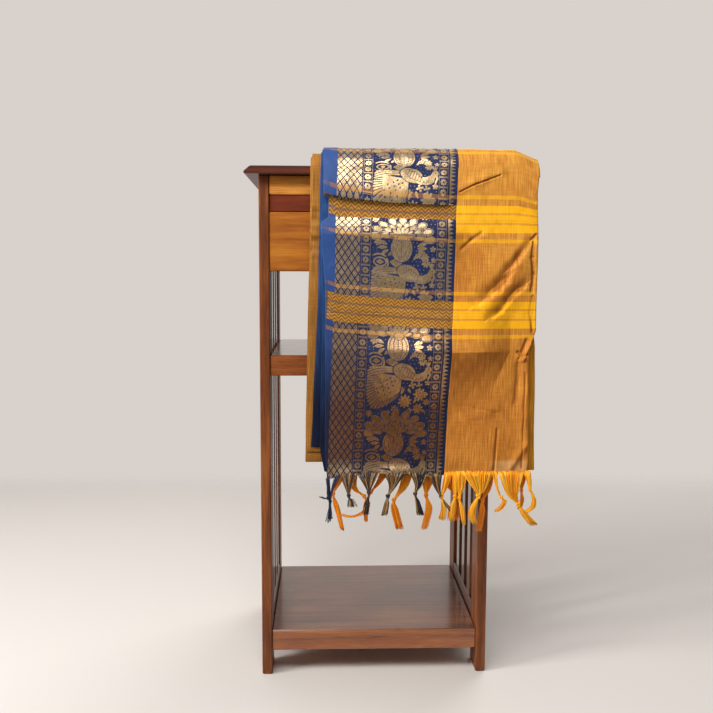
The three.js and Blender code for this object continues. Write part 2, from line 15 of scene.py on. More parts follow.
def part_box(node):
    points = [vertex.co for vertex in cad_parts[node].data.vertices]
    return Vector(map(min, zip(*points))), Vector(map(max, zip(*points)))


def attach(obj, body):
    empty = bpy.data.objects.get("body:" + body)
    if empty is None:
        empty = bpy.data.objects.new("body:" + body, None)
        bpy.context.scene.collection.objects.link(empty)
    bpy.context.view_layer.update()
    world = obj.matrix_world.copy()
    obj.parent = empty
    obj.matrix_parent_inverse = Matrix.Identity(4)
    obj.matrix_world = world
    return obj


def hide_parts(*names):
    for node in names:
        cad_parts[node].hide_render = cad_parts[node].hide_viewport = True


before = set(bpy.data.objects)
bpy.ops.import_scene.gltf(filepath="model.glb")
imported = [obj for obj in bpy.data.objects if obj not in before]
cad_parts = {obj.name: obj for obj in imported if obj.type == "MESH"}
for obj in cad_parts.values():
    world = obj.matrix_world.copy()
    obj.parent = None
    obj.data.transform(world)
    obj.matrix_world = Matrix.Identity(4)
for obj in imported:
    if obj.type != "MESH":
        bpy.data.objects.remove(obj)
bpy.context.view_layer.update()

# %% [markdown]
# The table stands with x = 0 midway between its legs and y = 0 on the front of the legs. Sizes below are
# in millimetres from there, as a maker would measure them, and one function turns them into the frame's
# metres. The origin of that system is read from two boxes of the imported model.

# %% The table's own frame
top_low, top_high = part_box("table_top")
leg_low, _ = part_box("leg_front_left")
TABLE_X = (top_low[0] + top_high[0]) / 2
TABLE_Y = leg_low[1]
TABLE_HEIGHT = top_high[2] * 1000
print("table origin:", round(TABLE_X, 4), round(TABLE_Y, 4), "height mm:", round(TABLE_HEIGHT, 1))


def to_frame(x, y, z):
    """Millimetres in the table's own frame to the model's metres; works on numbers and on arrays."""
    return np.stack(np.broadcast_arrays(TABLE_X + x / 1000, TABLE_Y + y / 1000, z / 1000), axis=-1)


# %% [markdown]
# The camera stands where the photograph's camera stood: 1.15 m in front of the legs, a little left of
# them, 576 mm above the floor and looking slightly down. It is made first, since every other choice is
# judged through it.

# %% Camera
CAMERA_MM = (-68.2, -1153.05, 576.06)
CAMERA_YAW, CAMERA_PITCH, CAMERA_ROLL = 0.0359, -0.1053, 0.0034
FOCAL_PIXELS = 846.0
FRAME_PIXELS = 713
SENSOR_MM = 36.0


def camera_matrix():
    ahead = Vector((math.sin(CAMERA_YAW), math.cos(CAMERA_YAW), 0))
    right = Vector((math.cos(CAMERA_YAW), -math.sin(CAMERA_YAW), 0))
    up = Vector((0, 0, 1))
    look = ahead * math.cos(CAMERA_PITCH) + up * math.sin(CAMERA_PITCH)
    over = up * math.cos(CAMERA_PITCH) - ahead * math.sin(CAMERA_PITCH)
    side = right * math.cos(CAMERA_ROLL) + over * math.sin(CAMERA_ROLL)
    top = over * math.cos(CAMERA_ROLL) - right * math.sin(CAMERA_ROLL)
    place = Vector(to_frame(*CAMERA_MM))
    columns = Matrix((side, top, -look)).transposed().to_4x4()
    return Matrix.Translation(place) @ columns


bpy.ops.object.camera_add()
camera = bpy.context.object
camera.name = "camera"
camera.data.sensor_width = SENSOR_MM
camera.data.lens = FOCAL_PIXELS * SENSOR_MM / FRAME_PIXELS
camera.matrix_world = camera_matrix()
bpy.context.scene.camera = camera
bpy.context.scene.view_settings.view_transform = "Standard"
print("lens mm:", round(camera.data.lens, 2))

# %% [markdown]
# A material is a small tree of nodes. Colours are written as the sRGB hex values that a colour picker
# shows and turned to the linear numbers that the renderer works with.

# %% Helpers for materials


def linear(hex_value):
    """An sRGB hex colour, such as 0xC88A2E, as linear red, green, blue and alpha."""
    parts = [((hex_value >> shift) & 255) / 255 for shift in (16, 8, 0)]
    return tuple(c / 12.92 if c <= 0.04045 else ((c + 0.055) / 1.055) ** 2.4 for c in parts) + (1.0,)


def add(tree, kind, inputs=None, **settings):
    """Adds a shader node with its settings; an input that is a node or a socket is linked."""
    made = tree.nodes.new("ShaderNode" + kind)
    for name, value in settings.items():
        setattr(made, name, value)
    for name, value in (inputs or {}).items():
        if isinstance(value, bpy.types.Node):
            value = value.outputs[0]
        if isinstance(value, bpy.types.NodeSocket):
            tree.links.new(value, made.inputs[name])
        else:
            made.inputs[name].default_value = value
    return made


def maths(tree):
    """A short way to add the tree's math nodes, as in m("ADD", a, b)."""
    return lambda operation, *values: add(tree, "Math", dict(enumerate(values)), operation=operation)


def rescale(tree, value, source, target=(0.0, 1.0), smooth=False):
    """Maps a value from one range to another, held at both ends and eased into them if smooth."""
    return add(tree, "MapRange", {
        "Value": value, "From Min": source[0], "From Max": source[1],
        "To Min": target[0], "To Max": target[1],
    }, interpolation_type="SMOOTHSTEP" if smooth else "LINEAR")


def mixed(tree, factor, low, high):
    """A mix of two colours, nodes or sockets."""
    return add(tree, "Mix", {0: factor, 6: low, 7: high}, data_type="RGBA").outputs[2]


def new_material(name, **values):
    """A material with a Principled shader whose named sockets are set."""
    material = bpy.data.materials.new(name)
    material.use_nodes = True
    shader = material.node_tree.nodes["Principled BSDF"]
    for socket, value in values.items():
        shader.inputs[socket.replace("_", " ")].default_value = value
    return material, material.node_tree, shader


def ramp(tree, factor, stops, interpolation="LINEAR"):
    """A colour ramp from rows of (position, hex colour)."""
    made = add(tree, "ValToRGB", {"Fac": factor})
    made.color_ramp.interpolation = interpolation
    elements = made.color_ramp.elements
    while len(elements) < len(stops):
        elements.new(0.5)
    for element, (position, colour) in zip(elements, stops):
        element.position = position
        element.color = linear(colour)
    return made


def relief(tree, shader, height, strength, distance):
    """Lets a height value tilt the surface; the distance is in metres."""
    bump = add(tree, "Bump", {"Height": height, "Strength": strength, "Distance": distance})
    tree.links.new(bump.outputs[0], shader.inputs["Normal"])


# %% [markdown]
# The table is varnished hardwood. Wood shows two scales of figure: wide, wandering bands of growth
# rings, and short fine pores that run with the grain. Both come from noise that is squeezed across the
# grain and stretched along it, and a third noise clouds the colour. The varnish is a thin clear coat, so
# it shines a little at low angles. The shelves are darker on their upper faces than on their edges.

# %% Varnished wood
GRAIN_ACROSS_MM = 9.0
GRAIN_ALONG_MM = 240.0
PORE_ACROSS_MM = 0.9
PORE_ALONG_MM = 26.0
CLOUD_ACROSS_MM = 42.0
CLOUD_ALONG_MM = 90.0
UPPER_FACE_DARK = 0x140A06


def stretched(tree, along, across_mm, along_mm):
    """Object coordinates scaled to one unit per grain size, with the long size along X, Y or Z."""
    place = add(tree, "TexCoord").outputs["Object"]
    scale = [1000 / across_mm] * 3
    scale["XYZ".index(along)] = 1000 / along_mm
    return add(tree, "Mapping", {"Vector": place, "Scale": scale})


def wood_material(name, along, dark, middle, light, roughness, coat, upper_face_darkening=0.0):
    material, tree, shader = new_material(
        name, Coat_Weight=coat, Coat_Roughness=0.16, IOR=1.5, Specular_IOR_Level=0.3)
    m = maths(tree)
    wide = stretched(tree, along, GRAIN_ACROSS_MM, GRAIN_ALONG_MM)
    figure = add(tree, "TexNoise", {"Vector": wide, "Scale": 1.0, "Detail": 4.0, "Distortion": 0.6})
    fine = stretched(tree, along, PORE_ACROSS_MM, PORE_ALONG_MM)
    pores = add(tree, "TexNoise", {"Vector": fine, "Scale": 1.0, "Detail": 3.0})
    patches = stretched(tree, along, CLOUD_ACROSS_MM, CLOUD_ALONG_MM)
    cloudy = add(tree, "TexNoise", {"Vector": patches, "Scale": 1.0, "Detail": 2.0})
    all_three = m("MULTIPLY_ADD", cloudy, 0.6, m("MULTIPLY_ADD", pores, 0.8, figure))
    spread = rescale(tree, all_three, (0.85, 1.55))
    colour = ramp(tree, spread, [(0.0, dark), (0.5, middle), (1.0, light)]).outputs[0]
    # The upper faces are mixed towards a dark colour, so they are darker than the edges
    if upper_face_darkening:
        normal = add(tree, "SeparateXYZ", {"Vector": add(tree, "NewGeometry").outputs["Normal"]})
        on_top = m("GREATER_THAN", normal.outputs[2], 0.5)
        colour = mixed(tree, m("MULTIPLY", on_top, upper_face_darkening), colour, linear(UPPER_FACE_DARK))
    tree.links.new(colour, shader.inputs["Base Color"])
    shine = rescale(tree, pores, (0.3, 0.7), (roughness - 0.07, roughness + 0.1))
    tree.links.new(shine.outputs[0], shader.inputs["Roughness"])
    relief(tree, shader, pores, 0.2, 0.0003)
    return material


WOODS = {
    # the grain's direction, three colours, roughness, coat, and how far the upper face is darkened
    "dark top": ("X", 0x30100A, 0x4E1E0C, 0x6C3012, 0.45, 0.15),
    "golden rail": ("X", 0xA8601A, 0xCE8430, 0xE4A248, 0.5, 0.2),
    "golden panel": ("X", 0x7A3E08, 0xA05C14, 0xBC7824, 0.5, 0.1),
    "red band": ("X", 0x4A1802, 0x682404, 0x80340A, 0.5, 0.05),
    "brown leg": ("Z", 0x4A200A, 0x763E18, 0x9C5E2A, 0.5, 0.1),
    "brown shelf": ("X", 0x643216, 0x965426, 0xBE783E, 0.32, 1.0, 0.56),
    "brown side rail": ("Y", 0x38190A, 0x5A2E14, 0x7A4824, 0.36, 0.5),
    "brown slat": ("Z", 0x34180A, 0x54290F, 0x744420, 0.34, 0.8),
}
wood = {look: wood_material("varnished hardwood, " + look, *row) for look, row in WOODS.items()}

WOOD_OF_NODE = {
    "table_top": "dark top",
    "front_top_rail": "golden rail",
    "front_dark_band": "red band",
    "front_panel": "golden panel",
    "back_apron": "brown shelf",
    "middle_shelf": "brown shelf",
    "bottom_shelf": "brown shelf",
}


def wood_for(node):
    if node in WOOD_OF_NODE:
        return wood[WOOD_OF_NODE[node]]
    if node.startswith("side_"):
        return wood["brown side rail"]
    if node.startswith("slat_"):
        return wood["brown slat"]
    return wood["brown leg"]


CLOTH_NODES = [
    "pallu_face", "pallu_inner_quarters", "next_stretch_border", "folded_length",
    "face_fringe", "inner_fringe",
]
wooden_nodes = [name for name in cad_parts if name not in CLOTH_NODES]
for name in wooden_nodes:
    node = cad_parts[name]
    node.data.materials.clear()
    node.data.materials.append(wood_for(name))
print("wooden nodes:", len(wooden_nodes))

# %% [markdown]
# The cloth lies along one path: up the front, over the table's top and down the back. Lengths along it
# are counted as s, which is 0 where the front bend begins and negative below. The functions here repeat
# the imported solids' own sizes, so that the fine cloth sits exactly on them.

# %% The drape
TOP_OVERHANG = 18.0
TABLE_DEPTH = 262.0
TABLE_HALF_WIDTH = 159.0
SEAM = 0.3
STACK_ON_DROP = 16.4
STACK_ON_TOP = 22.6
BEND_RADIUS = 27.5
FOLD_RADIUS = 2.4
FOLD_RETURN = 26.0
FIRM_DEPTH = 8.2

CLOTH_FRONT_Y = -TOP_OVERHANG - SEAM - STACK_ON_DROP
CLOTH_BACK_Y = TABLE_DEPTH + TOP_OVERHANG + SEAM + STACK_ON_DROP
CLOTH_TOP_Z = TABLE_HEIGHT + SEAM + STACK_ON_TOP
BEND_Z = CLOTH_TOP_Z - BEND_RADIUS
BEND_LENGTH = BEND_RADIUS * math.pi / 2
TOP_RUN = CLOTH_BACK_Y - CLOTH_FRONT_Y - 2 * BEND_RADIUS
BACK_START = 2 * BEND_LENGTH + TOP_RUN


def front_s(z):
    return z - BEND_Z


def back_s(z):
    return BACK_START + BEND_Z - z


def smoothstep(low, high, value):
    t = np.clip((np.asarray(value, float) - low) / (high - low), 0, 1)
    return t * t * (3 - 2 * t)


def path_at(s):
    """Height, depth and the inward direction of the outermost cloth at each length s."""
    s = np.asarray(s, float)
    turn = np.clip(s, 0, BEND_LENGTH) / BEND_RADIUS
    turn = turn + np.clip(s - BEND_LENGTH - TOP_RUN, 0, BEND_LENGTH) / BEND_RADIUS
    run = np.clip(s - BEND_LENGTH, 0, TOP_RUN)
    over = turn > math.pi / 2
    y_centre = np.where(over, CLOTH_BACK_Y - BEND_RADIUS, CLOTH_FRONT_Y + BEND_RADIUS + run)
    y = y_centre - BEND_RADIUS * np.cos(turn)
    z = BEND_Z + BEND_RADIUS * np.sin(turn) + np.minimum(s, 0) - np.maximum(s - BACK_START, 0)
    return y, z, np.cos(turn), -np.sin(turn)


DROOP_FROM = TABLE_HALF_WIDTH + TOP_OVERHANG + 1
DROOP_TO = 214.0
DROOP_DEPTH = 12.0
DROOP_FADE = 90.0


def droop_at(x, s):
    away = np.maximum(0, np.maximum(-s, s - BACK_START))
    return DROOP_DEPTH * smoothstep(DROOP_FROM, DROOP_TO, x) * (1 - smoothstep(0, DROOP_FADE, away))


def on_drape(x, n, s, lift=0.0):
    """Points of the frame at x across, n deep in the stack and s along the path; lift moves them out."""
    y, z, in_y, in_z = path_at(s)
    on_top = smoothstep(0, BEND_LENGTH, np.minimum(s, BACK_START - s))
    full = STACK_ON_DROP + (STACK_ON_TOP - STACK_ON_DROP) * on_top
    spread = (full - FIRM_DEPTH) / (STACK_ON_DROP - FIRM_DEPTH)
    depth = np.where(n < FIRM_DEPTH, n, FIRM_DEPTH + (n - FIRM_DEPTH) * spread) - lift
    return to_frame(x, y + in_y * depth, z + in_z * depth - droop_at(x, s))


print("drape length mm:", round(float(back_s(306) - front_s(297)), 1))

# %% [markdown]
# Creases make cloth look like cloth. On this saree one horizontal tuck runs across the brocade border
# just under the table's edge, broad waves follow it lower down, and a few diagonal folds start from the
# long fold at the right. Each row of the table is one soft ridge or trough; the border's own waves are
# one profile by height.

# %% Creases of the face
def along(points, **shape):
    """One row of the table for each stretch of a bent crease."""
    return [dict(x0=x0, s0=s0, x1=x1, s1=s1, **shape) for (x0, s0), (x1, s1) in zip(points, points[1:])]


# x and s of the points run from left to right; width is the reach to each side, below the reach of the
# lower side if it differs, height is outwards if over 0, and a sharp row has a pointed crest
FOLDS = [
    *along([(106.6, -31.3), (124.9, -22.2), (143.1, -15.6), (160.1, -9.1)],
           width=1.5, height=-2.6, sharp=True),
    *along([(105.6, -27.3), (123.9, -18.2), (142.1, -11.6), (159.1, -5.1)], width=6, height=0.9),
    *along([(110.5, -105.2), (123.5, -93.4), (136.6, -84.2)], width=2.6, height=-1.0),
    *along([(174.3, -130.7), (184.8, -120.7), (188.7, -113), (199.3, -98.3)],
           width=7, below=2.8, height=-1.8),
    dict(x0=140, s0=-180, x1=188, s1=-118, width=26, height=3.4),
    *along([(132, -178), (148.5, -167), (161, -157.5), (170.5, -147), (175.6, -135)],
           width=12, below=3.6, height=-2.2),
    *along([(150, -196), (162.6, -188.1), (175.6, -172.2), (186.1, -161.5), (195.3, -153.5)],
           width=8, below=2.6, height=-1.6),
    *along([(205.6, -92), (203.6, -116), (206.4, -138), (204.8, -160)], width=2.8, below=2.0, height=-1.7),
    *along([(206.8, -168), (205.0, -190), (207.0, -214)], width=2.8, below=2.0, height=-1.4),
    dict(x0=199.0, s0=-270, x1=197.6, s1=-400, width=1.4, below=3, height=-1.2, sharp=True),
    dict(x0=203, s0=-92, x1=209, s1=-86, width=2.0, height=-1.5),
    dict(x0=118, s0=-62, x1=200, s1=-66, width=9, height=1.0),
    dict(x0=195, s0=-252.3, x1=203.9, s1=-232.2, width=2.4, height=2.4),
    dict(x0=203.9, s0=-232.2, x1=211, s1=-221.4, width=2.4, height=2.4),
    dict(x0=190.4, s0=-250, x1=200, s1=-226, width=2.8, height=-1.6),
    dict(x0=188, s0=-241.6, x1=196, s1=-247, width=1.8, height=-1.8),
    dict(x0=196, s0=-247, x1=202, s1=-245, width=1.8, height=-1.5),
    dict(x0=189, s0=-248, x1=201, s1=-252, width=2.4, height=1.3),
    dict(x0=190, s0=-258, x1=187.4, s1=-310, width=4.0, height=-1.6),
    *along([(199.4, -252), (202, -296), (199, -330), (202, -368)], width=10, height=1.6),
    dict(x0=159.1, s0=-409, x1=163.3, s1=-347, width=4.0, below=1.5, height=-1.5, sharp=True),
    dict(x0=182, s0=-398, x1=203.2, s1=-366, width=5, height=2.0),
    dict(x0=131.5, s0=-317, x1=161.5, s1=-325, width=2.4, height=-0.6),
    dict(x0=104, s0=-384, x1=152, s1=-396, width=12, height=1.4),
    dict(x0=120, s0=-330, x1=160, s1=-318, width=8, height=0.8),
    dict(x0=-60, s0=-128, x1=60, s1=-150, width=5, height=0.8),
    dict(x0=-40, s0=-182, x1=90, s1=-196, width=6, height=0.7),
    dict(x0=-68, s0=-262, x1=20, s1=-256, width=7, height=0.8),
    dict(x0=-66, s0=-330, x1=10, s1=-352, width=9, height=1.0),
    dict(x0=14, s0=-404, x1=44, s1=-403, width=9, height=4.0),
    dict(x0=-44, s0=-405, x1=-30, s1=-405, width=7, height=2.4),
    dict(x0=-20, s0=70, x1=120, s1=110, width=16, height=1.6),
    dict(x0=20, s0=210, x1=190, s1=170, width=14, height=1.8),
    dict(x0=150, s0=60, x1=196, s1=140, width=10, height=1.4),
    dict(x0=-40, s0=500, x1=150, s1=512, width=22, height=2.8),
    dict(x0=60, s0=660, x1=196, s1=540, width=16, height=2.4),
    dict(x0=-50, s0=560, x1=40, s1=610, width=10, height=1.2),
    dict(x0=120, s0=700, x1=180, s1=740, width=12, height=1.2),
]

# The border's own waves, by height
BORDER_WAVES = [
    dict(z=292, lift=4.0), dict(z=304, lift=2.4), dict(z=335, lift=1.4), dict(z=372, lift=1.0),
    dict(z=405, lift=1.8), dict(z=440, lift=3.4), dict(z=458, lift=4.4), dict(z=468, lift=4.0),
    dict(z=482, lift=1.6), dict(z=492, lift=0.8), dict(z=520, lift=0.4), dict(z=545, lift=0.6),
    dict(z=570, lift=1.8), dict(z=600, lift=5.0), dict(z=612, lift=7.0), dict(z=619, lift=7.6),
    dict(z=630, lift=5.4), dict(z=641, lift=1.4), dict(z=648, lift=0.8), dict(z=660, lift=0.7),
    dict(z=672, lift=0.9), dict(z=690, lift=1.0), dict(z=705, lift=0.6), dict(z=722, lift=0.0),
]
# The tuck: cloth above the line bulges out and hangs over the cloth below it
TUCK_LINE = [
    dict(x=-65, z=671.7), dict(x=-44, z=668.0), dict(x=-11, z=664.3), dict(x=28, z=660.7),
    dict(x=67, z=658.6), dict(x=100, z=658.6),
]
TUCK_OUT = 7.6
TUCK_SAG = 3.6
TUCK_RISE = 46.0
# The bulge in the middle of the face, from the corner of its sharp line
BULGE = dict(x=177.0, s=-241.0, lean=0.45, slope=0.33, height=16.0, rise=70.0, fall=84.0, left=(-30, 66))
# The value of the bulge's upper fade on its sharp line
FADE_ON_LINE = 0.741
# Height, size and seed of the small waves, and the deepest that the face can lie
RIPPLES = [(1.0, 90, 5), (1.0, 46, 3), (0.3, 17, 4)]
DEEPEST = -0.8
# A height over every row of the border's waves, for the back, which has none
ABOVE_WAVES = 1000.0


def table_value(rows, key, value, column):
    return np.interp(value, [row[key] for row in rows], [row[column] for row in rows])


def ridge(x, s, x0, s0, x1, s1, width, height, below=None, sharp=False):
    along_x, along_s = x1 - x0, s1 - s0
    t = ((x - x0) * along_x + (s - s0) * along_s) / (along_x ** 2 + along_s ** 2)
    t = np.clip(t, 0, 1)
    under = along_x * (s - s0) < along_s * (x - x0)
    reach = np.where(under, below or width, width)
    away = np.hypot(x - x0 - t * along_x, s - s0 - t * along_s) / reach
    if sharp:
        return height * np.maximum(0, 1 - away) ** 1.3
    return height * np.exp(-away * away)


def ripples(x, s, size, seed, count=7):
    """Small uneven waves of about the given size, between -1 and 1."""
    draws = random.Random(seed)
    total = 0
    for _ in range(count):
        angle = draws.uniform(0, math.pi)
        wave = 2 * math.pi / (size * draws.uniform(0.7, 1.6))
        phase = draws.uniform(0, 2 * math.pi)
        total = total + np.sin((x * math.cos(angle) + s * math.sin(angle)) * wave + phase)
    return total / count


def above_tuck(x, s):
    """Millimetres above the tuck's line, and how strongly the tuck acts there."""
    z = BEND_Z + s
    above = z - table_value(TUCK_LINE, "x", x, "z")
    strength = (1 - smoothstep(84, 106, x)) * (1 - 0.4 * smoothstep(-20, 60, x))
    return above, strength


def tuck_lift(x, s):
    above, strength = above_tuck(x, s)
    bulge = smoothstep(-0.6, 1.2, above) * (1 - smoothstep(1.5, TUCK_RISE, above))
    return TUCK_OUT * bulge * strength


def tuck_sag(x, s):
    """How far the lip of the tuck hangs down over the cloth below."""
    above, strength = above_tuck(x, s)
    return TUCK_SAG * strength * smoothstep(-0.4, 1.4, above) * (1 - smoothstep(1.5, 16, above))


def bulge_lift(x, s):
    """The bulge above the dent: its lower right flank faces away from the light and ends on a sharp line."""
    below = BULGE["s"] - s
    lean = BULGE["lean"]
    flank = BULGE["slope"] * (BULGE["x"] - x - lean * np.maximum(below, 0)) / math.hypot(1, lean)
    flank = np.maximum(flank, 0)
    flank = flank / (1 + (flank / BULGE["height"]) ** 4) ** 0.25
    above = 1 - smoothstep(-0.5, 1, -below / BULGE["rise"])
    under = (1 - np.clip(below / BULGE["fall"], 0, 1)) ** 1.4
    return flank * np.minimum(above / FADE_ON_LINE, 1) * under * smoothstep(*BULGE["left"], x)


def face_lift(x, s):
    """How far the face stands out from the stack, in millimetres."""
    lift = sum(ridge(x, s, **row) for row in FOLDS)
    z = np.where(s > BACK_START, ABOVE_WAVES, BEND_Z + s)
    border = 1 - 0.72 * smoothstep(70, 125, x)
    waves = table_value(BORDER_WAVES, "z", z, "lift")
    lift = lift + waves * border + tuck_lift(x, s) + bulge_lift(x, s)
    for height, size, seed in RIPPLES:
        lift = lift + height * ripples(x, s, size, seed)
    return np.maximum(lift, DEEPEST)


def facing_away_from_light(x, s, reach=0.8):
    """How far the face turns down and to the right, away from the light, from 0 to 1; the body's painted
    crease shade follows it.
    """
    rise_x = (face_lift(x + reach, s) - face_lift(x - reach, s)) / (2 * reach)
    rise_s = (face_lift(x, s + reach) - face_lift(x, s - reach)) / (2 * reach)
    return np.clip(2.4 * (0.6 * rise_s - 0.8 * rise_x), 0, 1)


print("creases:", len(FOLDS), "heights of waves:", len(BORDER_WAVES))

# %% [markdown]
# A sheet of cloth is a grid of points with a UV map in real millimetres: u runs across from the
# selvedge and v along from the fringed hem. The weave, the stripes and the brocade read that map, so
# they follow every fold. Solidify then gives the sheet its thickness.

# %% Helpers for cloth meshes
CLOTH_THICKNESS = 0.0005


def mesh_object(name, points, faces, values):
    """A smooth mesh with named values on its points."""
    mesh = bpy.data.meshes.new(name)
    mesh.from_pydata(points.tolist(), [], faces)
    for title, data in values.items():
        attribute = mesh.attributes.new(title, "FLOAT", "POINT")
        attribute.data.foreach_set("value", np.asarray(data, np.float32).ravel())
    mesh.polygons.foreach_set("use_smooth", np.ones(len(mesh.polygons), bool))
    made = bpy.data.objects.new(name, mesh)
    bpy.context.collection.objects.link(made)
    return made


def grid_object(name, points, uv, values, closed=False):
    """A mesh from rows and columns of points, with a UV map in millimetres and named point values."""
    rows, columns = points.shape[:2]
    index = np.arange(rows * columns).reshape(rows, columns)
    if closed:
        index = np.concatenate([index, index[:, :1]], axis=1)
    quads = np.stack([index[:-1, :-1], index[:-1, 1:], index[1:, 1:], index[1:, :-1]], axis=-1)
    made = mesh_object(name, points.reshape(-1, 3), quads.reshape(-1, 4).tolist(), values)
    corners = np.empty(len(made.data.loops), int)
    made.data.loops.foreach_get("vertex_index", corners)
    layer = made.data.uv_layers.new(name="cloth_mm")
    layer.uv.foreach_set("vector", uv.reshape(-1, 2)[corners].astype(np.float32).ravel())
    return made


def select_only(item):
    bpy.ops.object.select_all(action="DESELECT")
    item.select_set(True)
    bpy.context.view_layer.objects.active = item


def thicken(sheet):
    """Solidify inwards from the face and keep the result."""
    modifier = sheet.modifiers.new("wall", "SOLIDIFY")
    modifier.thickness = CLOTH_THICKNESS
    modifier.offset = -1
    select_only(sheet)
    bpy.ops.object.modifier_apply(modifier="wall")


def face_outwards(item, cap_ends=False):
    """Turns the faces of a closed mesh outwards, after capping the two ends of a tube if asked."""
    select_only(item)
    bpy.ops.object.mode_set(mode="EDIT")
    if cap_ends:
        bpy.ops.mesh.select_mode(type="VERT")
        bpy.ops.mesh.select_all(action="DESELECT")
        bpy.ops.mesh.select_non_manifold()
        bpy.ops.mesh.fill_holes(sides=0)
    bpy.ops.mesh.select_all(action="SELECT")
    bpy.ops.mesh.normals_make_consistent(inside=False)
    bpy.ops.object.mode_set(mode="OBJECT")


# %% [markdown]
# The brocade's wide field repeats one unit along the border: a peacock with a fanned tail, a lotus on a
# round vase, and small flowers between. They are traditional motifs, redrawn here from simple shapes.
# Each shape is a distance field, in millimetres: positive inside, negative outside. Painting a shape
# first clears a thin margin round it, and that margin is the dark outline that the weave leaves.

# %% Shapes of the brocade
UNIT_WIDTH = 86.0
UNIT_LENGTH = 128.0
CELL = 0.5
CURVE_STEPS = 8
cell_p, cell_q = np.meshgrid(
    np.arange(0, UNIT_WIDTH + CELL, CELL), np.arange(0, UNIT_LENGTH, CELL), indexing="ij")
brocade = np.full(cell_p.shape, -6.0)


def ellipse(p, q, centre, radii, turn=0.0):
    c, s = math.cos(turn), math.sin(turn)
    a = (p - centre[0]) * c + (q - centre[1]) * s
    b = -(p - centre[0]) * s + (q - centre[1]) * c
    return (1 - np.hypot(a / radii[0], b / radii[1])) * min(radii)


def petal(p, q, root, angle, length, width):
    """A pointed leaf from its root, with its widest place past the middle."""
    c, s = math.cos(angle), math.sin(angle)
    along = ((p - root[0]) * c + (q - root[1]) * s) / length
    away = np.abs(-(p - root[0]) * s + (q - root[1]) * c)
    inside = np.clip(along, 0, 1)
    half = width / 2 * np.sin(math.pi * inside ** 1.25) ** 0.8
    past = np.maximum(np.maximum(-along, along - 1), 0) * length
    return half - away - past


def stroke(p, q, points, width):
    nearest = np.full(p.shape, 1e9)
    for (p0, q0), (p1, q1) in zip(points, points[1:]):
        t = ((p - p0) * (p1 - p0) + (q - q0) * (q1 - q0)) / ((p1 - p0) ** 2 + (q1 - q0) ** 2)
        t = np.clip(t, 0, 1)
        nearest = np.minimum(nearest, np.hypot(p - p0 - t * (p1 - p0), q - q0 - t * (q1 - q0)))
    return width / 2 - nearest


def curve_points(*handles):
    """Points along a quadratic curve from three handles."""
    (p0, q0), (p1, q1), (p2, q2) = handles
    places = [i / CURVE_STEPS for i in range(CURVE_STEPS + 1)]
    return [((1 - t) ** 2 * p0 + 2 * t * (1 - t) * p1 + t * t * p2,
             (1 - t) ** 2 * q0 + 2 * t * (1 - t) * q1 + t * t * q2) for t in places]


def paint(margin, shape, *sizes):
    """Paints a gold shape with a dark margin, and its copies in the units above and below."""
    global brocade
    for shift in (-UNIT_LENGTH, 0, UNIT_LENGTH):
        distance = shape(cell_p, cell_q + shift, *sizes)
        brocade = np.maximum(np.minimum(brocade, -(distance + margin)), distance)


def engrave(shape, *sizes):
    """Cuts a dark detail out of the gold."""
    global brocade
    for shift in (-UNIT_LENGTH, 0, UNIT_LENGTH):
        brocade = np.minimum(brocade, -shape(cell_p, cell_q + shift, *sizes))


# %% [markdown]
# Small round flowers with four to ten petals fill the ground between the large figures. Pointed leaves
# grow beside them, and a ring with a lozenge inside sits among four short scrolls.

# %% Small flowers, leaves and rings
OUTLINE = 0.8
FLOWER_TURN = 0.3


def ring_of_petals(p, q, centre, radius, petals):
    """Rounded petals round a centre, as one shape."""
    best = np.full(p.shape, -99.0)
    for i in range(petals):
        angle = FLOWER_TURN + i * 2 * math.pi / petals
        middle = (centre[0] + 0.62 * radius * math.cos(angle), centre[1] + 0.62 * radius * math.sin(angle))
        across = min(0.3, 1.5 / petals) * radius
        best = np.maximum(best, ellipse(p, q, middle, (0.38 * radius, across), angle))
    return best


FLOWERS = [
    dict(p=72.8, q=115.3, radius=6.0, petals=8), dict(p=73.4, q=94.6, radius=6.0, petals=5),
    dict(p=61.6, q=83.5, radius=5.2, petals=4), dict(p=70.8, q=83.4, radius=4.6, petals=4),
    dict(p=81.6, q=87, radius=4.2, petals=5), dict(p=72.3, q=70.7, radius=9.4, petals=9),
    dict(p=52.8, q=61.0, radius=9.6, petals=10), dict(p=70.5, q=51.6, radius=7.4, petals=8),
    dict(p=39.5, q=50.6, radius=5.2, petals=6), dict(p=81.4, q=60.4, radius=4.6, petals=6),
    dict(p=47.6, q=76.4, radius=4.6, petals=6), dict(p=59.4, q=48.6, radius=3.8, petals=5),
    dict(p=30.6, q=45.6, radius=3.6, petals=5), dict(p=5.6, q=44.0, radius=5.0, petals=6),
    dict(p=71.0, q=-5.6, radius=6.0, petals=8), dict(p=81.2, q=6.0, radius=4.2, petals=5),
    dict(p=8.6, q=11.0, radius=5.4, petals=6), dict(p=62.4, q=124.6, radius=4.2, petals=5),
    dict(p=82.6, q=120.0, radius=3.6, petals=5),
]
for row in FLOWERS:
    centre = (row["p"], row["q"])
    paint(OUTLINE, ring_of_petals, centre, row["radius"], row["petals"])
    paint(0.6, ellipse, centre, (0.2 * row["radius"] + 0.4,) * 2)

